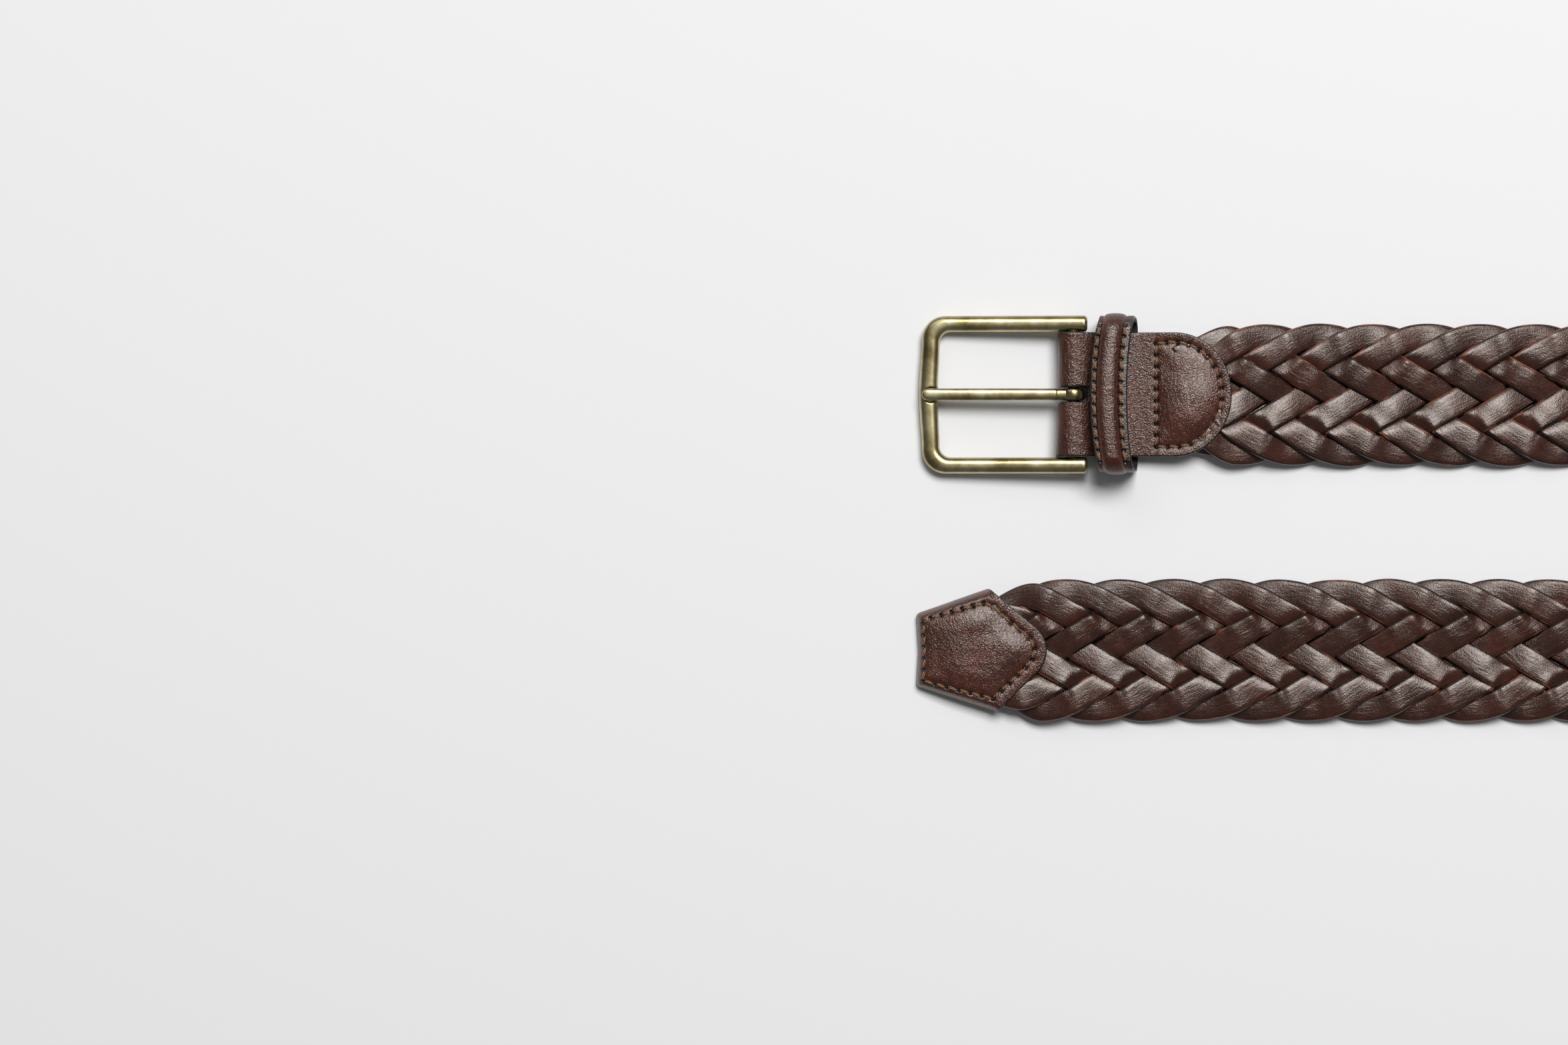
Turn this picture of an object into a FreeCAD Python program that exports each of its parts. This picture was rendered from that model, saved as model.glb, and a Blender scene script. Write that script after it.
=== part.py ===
import FreeCAD, Part
import math
import os

# Braided leather belt with a brass three-sided prong buckle.
# Millimetres, +Z up. The belt lies on a table as a long U: both ends are flat,
# the middle of the strap stands on its edge and turns round in a wide bend.

V = FreeCAD.Vector

# ---- overall layout ----
run_spacing = 72.0        # between the centre lines of the two flat runs
flat_upper = 160.0        # heel bar to the start of the first twist
flat_lower = 160.0        # same station on the other run
twist_length = 130.0      # each quarter twist from flat to on edge
standing_straight = 79.8  # straight on-edge stretch before and after the bend
flare_radius = 120.0      # the runs swing apart a little before the bend
flare_angle = math.radians(15.0)
tip_reach = 44.0          # tip end to the left of the heel bar

# ---- braid: nine flat strands, over two and under two ----
strand_count = 9
strand_pitch = 15.15      # between neighbouring strands along the belt
braid_amplitude = 19.7    # ideal triangle wave of each strand's centre line
strand_width = 5.4
strand_thickness = 1.5
strand_level = 0.85       # height of an over or under strand off the middle
braid_half_width = 19.75
braid_phase = 55.2        # first outer edge turn measured from the heel bar
riser_half = 1.12         # half length of a step between over and under
fine_step = 4.3           # longest facet where the strap twists or bends
table_gap = 0.05

# ---- buckle tab, one strip folded round the heel bar ----
tab_width = 34.6
tab_leather = 1.5
tab_under = 1.8           # the keeper's back band lies under the tab here
fold_outer = 3.7
fold_inner = 2.2
tab_straight = 28.5       # heel bar to the start of the rounded end
tab_reach = 44.6          # heel bar to the tip of the rounded end
slot_half = 2.1           # half width of the prong slot
slot_reach = 5.0
seam_x = 23.5             # straight stitch line
seam_inset = 2.7
stitch_pitch = 3.2
stitch_gap = 0.7
thread_width = 0.95
thread_height = 0.5

# ---- tip tab ----
tip_leather = 1.3
tip_end_half = 10.25
tip_wide_half = 17.4
tip_wide_at = 21.5
tip_nose_radius = 8.5     # rounding between the two slanting sides
tip_length = 36.6

# ---- keeper loop ----
keeper_left = 4.4         # left side of the front band
keeper_width = 12.0
keeper_lean = 4.0         # the back band sits this far further right
lining_thickness = 0.8
cover_thickness = 1.0
keeper_inner_half = 20.6
keeper_inner_low = 1.6
keeper_inner_high = 12.4
keeper_rib_width = 7.0
keeper_rib_height = 1.7

# ---- buckle ----
bar_height = tab_under + fold_outer
bar_radius = 1.8
frame_left = 43.3
frame_right = 4.0
frame_half = 22.25
arm_width = 4.6
frame_thickness = 4.6
crossbar_width = 5.3
crossbar_bow = 0.8
frame_round = 1.9
outer_corner = 6.5
inner_corner = 3.0
prong_width = 3.6
prong_thickness = 2.8
prong_reach = 42.4
prong_ring = 3.4

turn_y = run_spacing / 2 + flare_radius * (1 - math.cos(flare_angle))
bend_radius = turn_y / math.cos(flare_angle)
u_twist1 = flat_upper
u_stand1 = u_twist1 + twist_length
u_flare1 = u_stand1 + standing_straight
u_bend1 = u_flare1 + flare_radius * flare_angle
u_bend2 = u_bend1 + bend_radius * (math.pi + 2 * flare_angle)
u_flare2 = u_bend2 + flare_radius * flare_angle
u_stand2 = u_flare2 + standing_straight
u_flat2 = u_stand2 + twist_length
strap_total = u_flat2 + flat_lower + tip_reach
right_end = u_flare1 + (flare_radius + bend_radius) * math.sin(flare_angle)
right_end = right_end + bend_radius + 2 * strand_level
bar_x = -(right_end - tip_reach) / 2
bar_y = run_spacing / 2
period = strand_count * strand_pitch
theta = math.atan(4 * braid_amplitude / period)


def smooth(t):
    t = min(1.0, max(0.0, t))
    return t * t * (3 - 2 * t)


# ---- the strap's centre line in plan ----
plan_parts = [
    (u_flare1, 0.0),
    (u_bend1 - u_flare1, 1.0 / flare_radius),
    (u_bend2 - u_bend1, -1.0 / bend_radius),
    (u_flare2 - u_bend2, 1.0 / flare_radius),
    (strap_total - u_flare2, 0.0),
]


def plan(u):
    x = bar_x
    y = bar_y
    a = 0.0
    left = u
    for length, curve in plan_parts:
        run = min(length, left)
        last = (length, curve) == plan_parts[-1]
        if last:
            run = left
        if curve == 0.0:
            x = x + run * math.cos(a)
            y = y + run * math.sin(a)
        else:
            b = a + run * curve
            x = x + (math.sin(b) - math.sin(a)) / curve
            y = y + (math.cos(a) - math.cos(b)) / curve
            a = b
        left = left - run
        if left <= 0.0:
            break
    return x, y, a


def twist(u):
    up = smooth((u - u_twist1) / twist_length)
    down = smooth((u - u_stand2) / twist_length)
    return (up - down) * math.pi / 2


braid_half = strand_level + strand_thickness / 2
tab_level = tab_leather + 0.1 + braid_half
tip_level = tip_leather + 0.1 + braid_half
table_level = braid_half + table_gap


def height(u):
    flat = tab_level + (table_level - tab_level) * smooth((u - 46.0) / 38.0)
    back = strap_total - u
    if back < 90.0:
        flat = tip_level + (table_level - tip_level) * smooth((back - 38.0) / 38.0)
    t = twist(u)
    return flat * math.cos(t) + (braid_half_width + 0.15) * math.sin(t)


def narrowing(u):
    first = 0.8 + 0.2 * smooth((u - 30.0) / 16.0)
    last = 0.6 + 0.4 * smooth((strap_total - u - 12.0) / 26.0)
    return min(first, last)


def strap_point(u, v, n):
    x, y, a = plan(u)
    rise = (height(u + 0.01) - height(u - 0.01)) / 0.02
    along = V(math.cos(a), math.sin(a), rise)
    along.normalize()
    side = V(-math.sin(a), math.cos(a), 0)
    up = along.cross(side)
    t = twist(u)
    face = up * math.cos(t) + side * math.sin(t)
    across = side * math.cos(t) - up * math.sin(t)
    return V(x, y, height(u)) + across * (v * narrowing(u)) + face * n


def fine_zone(u):
    if u < 90.0:
        return True
    if u_twist1 - 8.0 < u < u_stand1 + 8.0:
        return True
    if u_flare1 - 8.0 < u < u_flare2 + 8.0:
        return True
    if u_stand2 - 8.0 < u < u_flat2 + 8.0:
        return True
    return u > strap_total - 90.0


# ---- one strand as a folded strip of flat plates ----
# A station is a fold line: left u, left v, right u, right v, level.
def leg_station(apex_u, sign, du, level):
    slope = math.tan(theta)
    reach = strand_width / 2 / math.sin(2 * theta)
    cu = apex_u + du
    cv = sign * (braid_amplitude - slope * du)
    lu = cu + sign * reach * math.cos(theta)
    ru = cu - sign * reach * math.cos(theta)
    lv = cv + reach * math.sin(theta)
    rv = cv - reach * math.sin(theta)
    return [lu, lv, ru, rv, level]


def turn_station(apex_u, sign, du_in, v_in, du_out, v_out, level):
    if sign > 0:
        return [apex_u + du_out, v_out, apex_u + du_in, v_in, level]
    return [apex_u + du_in, -v_in, apex_u + du_out, -v_out, level]


def half_cycle(apex_u, sign):
    # sign +1: from the upper edge down to the lower edge; -1: the other way
    up = strand_level
    low = -strand_level
    mark = period / 36.0
    step = riser_half * math.cos(theta)
    rows = []
    rows.append(turn_station(apex_u, sign, 0.25, 14.45, 3.6, 19.7, low))
    rows.append(turn_station(apex_u, sign, 6.2, 13.0, 9.6, 17.27, low))
    rows.append(leg_station(apex_u, sign, 5 * mark - step, low))
    rows.append(leg_station(apex_u, sign, 5 * mark + step, up))
    rows.append(leg_station(apex_u, sign, 9 * mark - step, up))
    rows.append(leg_station(apex_u, sign, 9 * mark + step, low))
    rows.append(leg_station(apex_u, sign, 13 * mark - step, low))
    rows.append(leg_station(apex_u, sign, 13 * mark + step, up))
    far = apex_u + period / 2
    rows.append(turn_station(far, -sign, -6.2, 13.0, -9.6, 17.27, up))
    rows.append(turn_station(far, -sign, -0.25, 14.45, -3.6, 19.7, up))
    return rows


def strand_stations(index):
    rows = []
    cycle = -1
    while True:
        apex = braid_phase + index * strand_pitch + cycle * period
        if apex > strap_total:
            break
        rows = rows + half_cycle(apex, 1)
        rows = rows + half_cycle(apex + period / 2, -1)
        cycle = cycle + 1
    start = 29.5
    end = strap_total - 13.0
    return [r for r in rows if min(r[0], r[2]) >= start and max(r[0], r[2]) <= end]


def divided(rows):
    out = [rows[0]]
    for a, b in zip(rows, rows[1:]):
        span = max(abs(b[0] - a[0]), abs(b[2] - a[2]))
        parts = 1
        if fine_zone(0.5 * (a[0] + b[0])):
            parts = max(1, int(math.ceil(span / fine_step)))
        for i in range(1, parts + 1):
            f = i / parts
            out.append([a[j] + (b[j] - a[j]) * f for j in range(5)])
    return out


def flat_faces(points):
    # one planar face, or two triangles where the four corners are not in a plane
    a, b, c, d = points
    normal = (c - a).cross(d - b)
    normal.normalize()
    off = abs((b - a).dot(normal)) + abs((d - a).dot(normal))
    if off < 1e-6:
        return [Part.Face(Part.makePolygon([a, b, c, d, a]))]
    if (c - a).Length < (d - b).Length:
        one = Part.Face(Part.makePolygon([a, b, c, a]))
        two = Part.Face(Part.makePolygon([a, c, d, a]))
    else:
        one = Part.Face(Part.makePolygon([a, b, d, a]))
        two = Part.Face(Part.makePolygon([b, c, d, b]))
    return [one, two]


def strip_solid(rows):
    half = strand_thickness / 2
    rings = []
    for lu, lv, ru, rv, level in rows:
        ring = []
        ring.append(strap_point(lu, lv, level + half))
        ring.append(strap_point(ru, rv, level + half))
        ring.append(strap_point(ru, rv, level - half))
        ring.append(strap_point(lu, lv, level - half))
        rings.append(ring)
    faces = []
    for a, b in zip(rings, rings[1:]):
        for i in range(4):
            j = (i + 1) % 4
            faces = faces + flat_faces([a[i], a[j], b[j], b[i]])
    faces = faces + flat_faces(rings[0])
    faces = faces + flat_faces(rings[-1])
    shell = Part.makeShell(faces)
    shell.sewShape()
    solid = Part.makeSolid(shell)
    if solid.Volume < 0:
        solid.reverse()
    return solid


# ---- helpers ----
def prism(points, direction):
    closed = list(points) + [points[0]]
    return Part.Face(Part.makePolygon(closed)).extrude(direction)


def height_on(profile, x):
    for a, b in zip(profile, profile[1:]):
        if a[0] <= x <= b[0]:
            f = (x - a[0]) / (b[0] - a[0])
            return a[1] + (b[1] - a[1]) * f
    return profile[-1][1]


def walk(path, pitch_wanted):
    # evenly spaced points round a closed path
    lengths = []
    closed = list(path) + [path[0]]
    for a, b in zip(closed, closed[1:]):
        lengths.append(math.hypot(b[0] - a[0], b[1] - a[1]))
    total = sum(lengths)
    count = int(round(total / pitch_wanted))
    step = total / count
    out = []
    for i in range(count):
        want = i * step
        k = 0
        while want > lengths[k] and k < len(lengths) - 1:
            want = want - lengths[k]
            k = k + 1
        f = want / lengths[k]
        a = closed[k]
        b = closed[k + 1]
        out.append((a[0] + (b[0] - a[0]) * f, a[1] + (b[1] - a[1]) * f))
    return out


def stitch(p, q):
    # one short run of thread from hole to hole, a six-sided prism
    along = q - p
    length = along.Length
    along.normalize()
    side = V(0, 0, 1).cross(along)
    side.normalize()
    up = along.cross(side)
    start = p + along * (stitch_gap / 2)
    w = thread_width / 2
    h = thread_height
    outline = []
    outline.append(start + side * w * 0.7)
    outline.append(start + side * w + up * h * 0.4)
    outline.append(start + side * w * 0.6 + up * h)
    outline.append(start - side * w * 0.6 + up * h)
    outline.append(start - side * w + up * h * 0.4)
    outline.append(start - side * w * 0.7)
    return prism(outline, along * (length - stitch_gap))


def seam(holes, level, closed=True):
    solids = []
    pairs = list(zip(holes, holes[1:]))
    if closed:
        pairs.append((holes[-1], holes[0]))
    for a, b in pairs:
        za = level(a[0])
        zb = level(b[0])
        lift = 0.0
        for i in range(1, 10):
            f = i / 10.0
            x = a[0] + (b[0] - a[0]) * f
            lift = max(lift, level(x) - za - (zb - za) * f)
        p = V(a[0], a[1], za + lift + 0.05)
        q = V(b[0], b[1], zb + lift + 0.05)
        solids.append(stitch(p, q))
    return Part.makeCompound(solids)


# ---- buckle tab ----
front_top = [
    (0.0, bar_height + fold_outer), (1.5, 9.12), (3.0, 8.75), (5.0, 8.05),
    (8.0, 7.0), (11.0, 6.25), (14.0, 5.75), (18.0, 5.4), (22.0, 5.25),
    (25.0, 5.25), (26.5, 5.6), (28.0, 6.15), (30.0, 6.4), (50.0, 6.4),
]
back_bottom = [(0.0, tab_under), (23.0, tab_under), (29.0, 0.0), (50.0, 0.0)]


def buckle_tab():
    top = [V(x, 0, z) for x, z in front_top]
    under = [V(x, 0, z - tab_leather) for x, z in front_top]
    low = [V(x, 0, z) for x, z in back_bottom]
    inside = [V(x, 0, z + tab_leather) for x, z in back_bottom]
    edges = []
    for a, b in zip(top, top[1:]):
        edges.append(Part.makeLine(a, b))
    edges.append(Part.makeLine(top[-1], under[-1]))
    for a, b in zip(under, under[1:]):
        edges.append(Part.makeLine(a, b))
    mid = V(-fold_inner, 0, bar_height)
    edges.append(Part.Arc(under[0], mid, inside[0]).toShape())
    for a, b in zip(inside, inside[1:]):
        edges.append(Part.makeLine(a, b))
    edges.append(Part.makeLine(inside[-1], low[-1]))
    for a, b in zip(low, low[1:]):
        edges.append(Part.makeLine(a, b))
    mid = V(-fold_outer, 0, bar_height)
    edges.append(Part.Arc(low[0], mid, top[0]).toShape())
    wire = Part.Wire(Part.__sortEdges__(edges))
    strip = Part.Face(wire).extrude(V(0, tab_width, 0))
    strip.translate(V(0, -tab_width / 2, 0))
    plan_box = Part.makeBox(tab_straight + 10, tab_width, 20, V(-10, -tab_width / 2, -2))
    apex = V(tab_reach, 0, -2)
    corner = V(tab_straight, tab_width / 2, -2)
    oval = Part.Ellipse(corner, apex, V(tab_straight, 0, -2)).toShape()
    round_end = Part.Face(Part.Wire([oval])).extrude(V(0, 0, 20))
    shape = strip.common(plan_box.fuse(round_end))
    slot = Part.makeBox(slot_reach + 8, 2 * slot_half, 20, V(-8, -slot_half, -2))
    slot_end = Part.makeCylinder(slot_half, 20, V(slot_reach, 0, -2))
    shape = shape.cut(slot.fuse(slot_end))
    return shape.removeSplitter()


def buckle_tab_seam():
    half = tab_width / 2 - seam_inset
    path = []
    path.append((seam_x, -half))
    path.append((seam_x, half))
    path.append((tab_straight, half))
    for i in range(1, 40):
        a = math.pi / 2 - math.pi * i / 40
        x = tab_straight + (tab_reach - tab_straight - seam_inset) * math.cos(a)
        path.append((x, half * math.sin(a)))
    path.append((tab_straight, -half))
    holes = walk(path, stitch_pitch)
    return seam(holes, lambda x: height_on(front_top, x))


# ---- tip tab ----
# measured from the tip end, the x axis pointing back along the strap
tip_top = [
    (0.0, 3.1), (0.8, 3.8), (2.0, 4.2), (4.0, 4.55), (8.0, 5.4),
    (12.0, 5.9), (16.0, 6.0), (60.0, 6.0),
]


def tip_half(x):
    return tip_end_half + (tip_wide_half - tip_end_half) * x / tip_wide_at


def tip_nose(inset):
    # from the lower wide corner round the nose to the upper one, all moved in by inset
    nose_x = tip_length - tip_nose_radius
    to_nose = math.hypot(nose_x - tip_wide_at, tip_wide_half)
    slant = math.atan2(tip_wide_half, nose_x - tip_wide_at)
    slant = slant - math.asin(tip_nose_radius / to_nose)
    side = math.atan2(tip_wide_half - tip_end_half, tip_wide_at)
    # the moved corner lies on the line that halves the angle between both sides
    half_turn = (slant + side) / 2
    reach = inset / math.cos(half_turn)
    middle = (side - slant) / 2
    cx = tip_wide_at + reach * math.sin(middle)
    cy = tip_wide_half - reach * math.cos(middle)
    points = [(cx, -cy)]
    for i in range(0, 21):
        t = (math.pi / 2 - slant) * (i / 10.0 - 1.0)
        r = tip_nose_radius - inset
        points.append((nose_x + r * math.cos(t), r * math.sin(t)))
    points.append((cx, cy))
    return points


def tip_outline(inset, z, depth):
    points = []
    r = 2.6
    for i in range(0, 7):
        t = math.pi + math.pi / 2 * i / 6
        x = r + inset + (r - 0.5 * inset) * math.cos(t)
        y = -(tip_end_half - inset - r) + r * math.sin(t)
        points.append(V(x, y, z))
    for x, y in tip_nose(inset):
        points.append(V(x, y, z))
    for i in range(0, 7):
        t = math.pi / 2 + math.pi / 2 * i / 6
        x = r + inset + (r - 0.5 * inset) * math.cos(t)
        y = (tip_end_half - inset - r) + r * math.sin(t)
        points.append(V(x, y, z))
    # the very end is slightly hollow between its corners
    points.append(V(inset + 0.45, 0, z))
    return prism(points, V(0, 0, depth))


def profile_prism(profile, low):
    points = [V(x, -30, z) for x, z in profile]
    points.append(V(profile[-1][0], -30, low))
    points.append(V(profile[0][0], -30, low))
    return prism(points, V(0, 60, 0))


def tip_front():
    body = tip_outline(0.0, tip_leather, 10)
    body = body.common(profile_prism(tip_top, 0.0))
    inner = [(x + 1.0, z - tip_leather) for x, z in tip_top]
    a = tip_half(1.6) - tip_leather
    b = tip_half(20.0) - tip_leather
    pocket = [V(1.8, -a, 0), V(20, -b, 0), V(24, -24, 0), V(50, -24, 0)]
    pocket = pocket + [V(50, 24, 0), V(24, 24, 0), V(20, b, 0), V(1.8, a, 0)]
    hollow = prism(pocket, V(0, 0, 20)).common(profile_prism(inner, 0.0))
    return body.cut(hollow).removeSplitter()


def tip_back():
    return tip_outline(0.0, 0.0, tip_leather)


def tip_seam():
    inset = 2.6
    path = [(inset, -(tip_end_half - inset)), (inset, tip_end_half - inset)]
    path = path + tip_nose(inset)[::-1]
    holes = walk(path, stitch_pitch)
    return seam(holes, lambda x: height_on(tip_top, x))


def place_tip(shape):
    moved = shape.copy()
    moved.translate(V(bar_x - tip_reach, -run_spacing / 2, 0))
    return moved


# ---- keeper ----
keeper_low = keeper_inner_low - lining_thickness - 0.8
keeper_high = keeper_inner_high + lining_thickness + cover_thickness


def ring_face(half, low, high, radius):
    # rounded rectangle in the YZ plane
    r = radius
    p = []
    p.append(Part.makeLine(V(0, -half + r, low), V(0, half - r, low)))
    p.append(Part.makeLine(V(0, half, low + r), V(0, half, high - r)))
    p.append(Part.makeLine(V(0, half - r, high), V(0, -half + r, high)))
    p.append(Part.makeLine(V(0, -half, high - r), V(0, -half, low + r)))
    corners = [(1, -1), (1, 1), (-1, 1), (-1, -1)]
    k = r * math.sqrt(0.5)
    for sy, sz in corners:
        cy = sy * (half - r)
        cz = low + r if sz < 0 else high - r
        a = V(0, cy + sy * r, cz)
        m = V(0, cy + sy * k, cz + sz * k)
        b = V(0, cy, cz + sz * r)
        p.append(Part.Arc(a, m, b).toShape())
    return Part.Face(Part.Wire(Part.__sortEdges__(p)))


def leaning_slab(x0, x1):
    # everything between two parallel leaning planes
    k = keeper_lean / (keeper_high - keeper_low)
    zt = 30.0
    zb = -10.0
    points = []
    points.append(V(x0 + k * (keeper_high - zt), -40, zt))
    points.append(V(x1 + k * (keeper_high - zt), -40, zt))
    points.append(V(x1 + k * (keeper_high - zb), -40, zb))
    points.append(V(x0 + k * (keeper_high - zb), -40, zb))
    return prism(points, V(0, 80, 0))


def ring_solid(half, low, high, radius, x0, x1):
    block = ring_face(half, low, high, radius).extrude(V(60, 0, 0))
    block.translate(V(-20, 0, 0))
    return block.common(leaning_slab(x0, x1))


def keeper_shapes():
    x0 = keeper_left
    x1 = keeper_left + keeper_width
    mid = (x0 + x1) / 2 + 0.4
    hi = keeper_inner_half
    hole = ring_solid(hi, keeper_inner_low, keeper_inner_high, 2.4, x0 - 9, x1 + 9)
    t = lining_thickness
    lining_outer = ring_solid(
        hi + t, keeper_inner_low - t, keeper_inner_high + t, 3.2, x0, x1)
    lining = lining_outer.cut(hole)
    half = hi + t + cover_thickness
    outer = ring_solid(half, keeper_low, keeper_high, 4.0, x0, x1)
    r0 = mid - keeper_rib_width / 2
    r1 = mid + keeper_rib_width / 2
    rib = ring_solid(half + 0.3, 6.0, keeper_high + keeper_rib_height, 4.6, r0, r1)
    top_edges = []
    for e in rib.Edges:
        c = e.CenterOfMass
        if c.z > 7.0 and e.BoundBox.YLength > 0.5:
            top_edges.append(e)
        elif c.z > 7.0 and abs(c.y) > half - 3 and e.BoundBox.XLength < 4.5:
            top_edges.append(e)
    rib = rib.makeFillet(1.35, top_edges)
    core = ring_solid(
        19.0, keeper_inner_high + t, keeper_high + keeper_rib_height - 1.0,
        0.6, mid - 2.3, mid + 2.3)
    skin = ring_solid(
        hi + t, keeper_inner_low - t, keeper_inner_high + t, 3.2, x0 - 9, x1 + 9)
    cover = outer.fuse(rib).cut(skin).cut(core)
    return cover.removeSplitter(), lining, core


def keeper_seam(x):
    holes = []
    count = 11
    for i in range(count):
        holes.append((x, (i - (count - 1) / 2) * stitch_pitch))
    return seam(holes, lambda at: keeper_high - 0.04, closed=False)


# ---- buckle frame, bar and prong, about the bar's axis ----
def frame_shape():
    z = -frame_thickness / 2
    r = outer_corner
    s = inner_corner
    yo = frame_half
    yi = frame_half - arm_width
    xi = -(frame_left - crossbar_width)
    k = math.sqrt(0.5)
    # the crossbar's outer side is a shallow arc tangent to both corner arcs
    bow_radius = (yo - r) ** 2 / (2 * crossbar_bow)
    cx = -frame_left + bow_radius
    cy = yo - r
    px = cx - math.sqrt((bow_radius - r) ** 2 - cy ** 2)
    a = math.atan2(cy, px - cx)
    tx = cx + bow_radius * math.cos(a)
    ty = bow_radius * math.sin(a)
    m = (a + math.pi / 2) / 2
    mx = px + r * math.cos(m)
    my = cy + r * math.sin(m)
    e = []
    e.append(Part.makeLine(V(frame_right, yo, z), V(px, yo, z)))
    e.append(Part.Arc(V(px, yo, z), V(mx, my, z), V(tx, ty, z)).toShape())
    e.append(Part.Arc(V(tx, ty, z), V(-frame_left, 0, z), V(tx, -ty, z)).toShape())
    e.append(Part.Arc(V(tx, -ty, z), V(mx, -my, z), V(px, -yo, z)).toShape())
    e.append(Part.makeLine(V(px, -yo, z), V(frame_right, -yo, z)))
    e.append(Part.makeLine(V(frame_right, -yo, z), V(frame_right, -yi, z)))
    e.append(Part.makeLine(V(frame_right, -yi, z), V(xi + s, -yi, z)))
    m = V(xi + s - s * k, -yi + s - s * k, z)
    e.append(Part.Arc(V(xi + s, -yi, z), m, V(xi, -yi + s, z)).toShape())
    e.append(Part.makeLine(V(xi, -yi + s, z), V(xi, yi - s, z)))
    m = V(xi + s - s * k, yi - s + s * k, z)
    e.append(Part.Arc(V(xi, yi - s, z), m, V(xi + s, yi, z)).toShape())
    e.append(Part.makeLine(V(xi + s, yi, z), V(frame_right, yi, z)))
    e.append(Part.makeLine(V(frame_right, yi, z), V(frame_right, yo, z)))
    wire = Part.Wire(Part.__sortEdges__(e))
    block = Part.Face(wire).extrude(V(0, 0, frame_thickness))
    rims = []
    for edge in block.Edges:
        b = edge.BoundBox
        if b.ZLength < 0.01 and not (b.XLength < 0.01 and b.XMin > frame_right - 0.1):
            rims.append(edge)
    block = block.makeFillet(frame_round, rims)
    seat = Part.makeCylinder(3.2, 12, V(-frame_left - 3, 0, 0), V(1, 0, 0))
    seat.translate(V(0, 0, frame_thickness / 2 - 1.0 + 3.2))
    block = block.cut(seat)
    bore = Part.makeCylinder(bar_radius, 43.0, V(0, -21.5, 0), V(0, 1, 0))
    return block.cut(bore)


def bar_shape():
    return Part.makeCylinder(bar_radius, 43.0, V(0, -21.5, 0), V(0, 1, 0))


def prong_shape():
    w = prong_width / 2
    t = prong_thickness
    length = prong_reach - 1.0
    e = []
    e.append(Part.makeLine(V(0, -w, -t / 2), V(0, w, -t / 2)))
    e.append(Part.makeLine(V(0, w, -t / 2), V(-length + w, w, -t / 2)))
    tip = V(-length, 0, -t / 2)
    a = V(-length + w, w, -t / 2)
    b = V(-length + w, -w, -t / 2)
    e.append(Part.Arc(a, tip, b).toShape())
    e.append(Part.makeLine(b, V(0, -w, -t / 2)))
    shaft = Part.Face(Part.Wire(Part.__sortEdges__(e))).extrude(V(0, 0, t))
    rims = []
    for edge in shaft.Edges:
        box = edge.BoundBox
        if box.ZLength < 0.01 and not (box.XLength < 0.01):
            rims.append(edge)
    shaft = shaft.makeFillet(1.0, rims)
    low_z = frame_thickness / 2 - 1.0 + 0.35 + t / 2
    near_z = 1.7
    slope = math.degrees(math.atan2(low_z - near_z, prong_reach - 4.0))
    shaft.rotate(V(0, 0, 0), V(0, 1, 0), slope)
    shaft.translate(V(-1.0, 0, near_z))
    ring = Part.makeCylinder(prong_ring, 3.4, V(0, -1.7, 0), V(0, 1, 0))
    hole = Part.makeCylinder(bar_radius + 0.1, 5, V(0, -2.5, 0), V(0, 1, 0))
    shape = shaft.fuse(ring).cut(hole)
    return shape.removeSplitter()


drop = bar_height - frame_thickness / 2
frame_tilt = math.degrees(math.asin(drop / (frame_left - crossbar_width / 2)))


def place_buckle(shape):
    moved = shape.copy()
    moved.rotate(V(0, 0, 0), V(0, 1, 0), -frame_tilt)
    moved.translate(V(bar_x, bar_y, bar_height + 0.05))
    return moved


def place_tab(shape):
    moved = shape.copy()
    moved.translate(V(bar_x, bar_y, 0))
    return moved


os.makedirs("parts", exist_ok=True)


def save(name, shape):
    shape.exportStep("parts/" + name + ".step")
    print(name, round(shape.Volume, 1), shape.isValid(), len(shape.Solids), len(shape.Faces))


save("buckle_tab", place_tab(buckle_tab()))
save("buckle_tab_stitching", place_tab(buckle_tab_seam()))
save("tip_tab_front", place_tip(tip_front()))
save("tip_tab_back", place_tip(tip_back()))
save("tip_tab_stitching", place_tip(tip_seam()))
cover, lining, core = keeper_shapes()
save("keeper_cover", place_tab(cover))
save("keeper_lining", place_tab(lining))
save("keeper_core", place_tab(core))
save("keeper_stitching_left", place_tab(keeper_seam(keeper_left + 1.5)))
save("keeper_stitching_right", place_tab(keeper_seam(keeper_left + keeper_width - 1.2)))
save("buckle_frame", place_buckle(frame_shape()))
save("heel_bar", place_buckle(bar_shape()))
save("prong", place_buckle(prong_shape()))
for i in range(strand_count):
    save("strand_" + str(i + 1), strip_solid(divided(strand_stations(i))))
print("strap length", round(strap_total, 1), "bend radius", round(bend_radius, 2))
print("bar at", round(bar_x, 2), bar_y, "frame tilt", round(frame_tilt, 2))
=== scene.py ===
import bpy
import math
import numpy as np
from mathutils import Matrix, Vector
from mathutils.geometry import delaunay_2d_cdt


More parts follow.
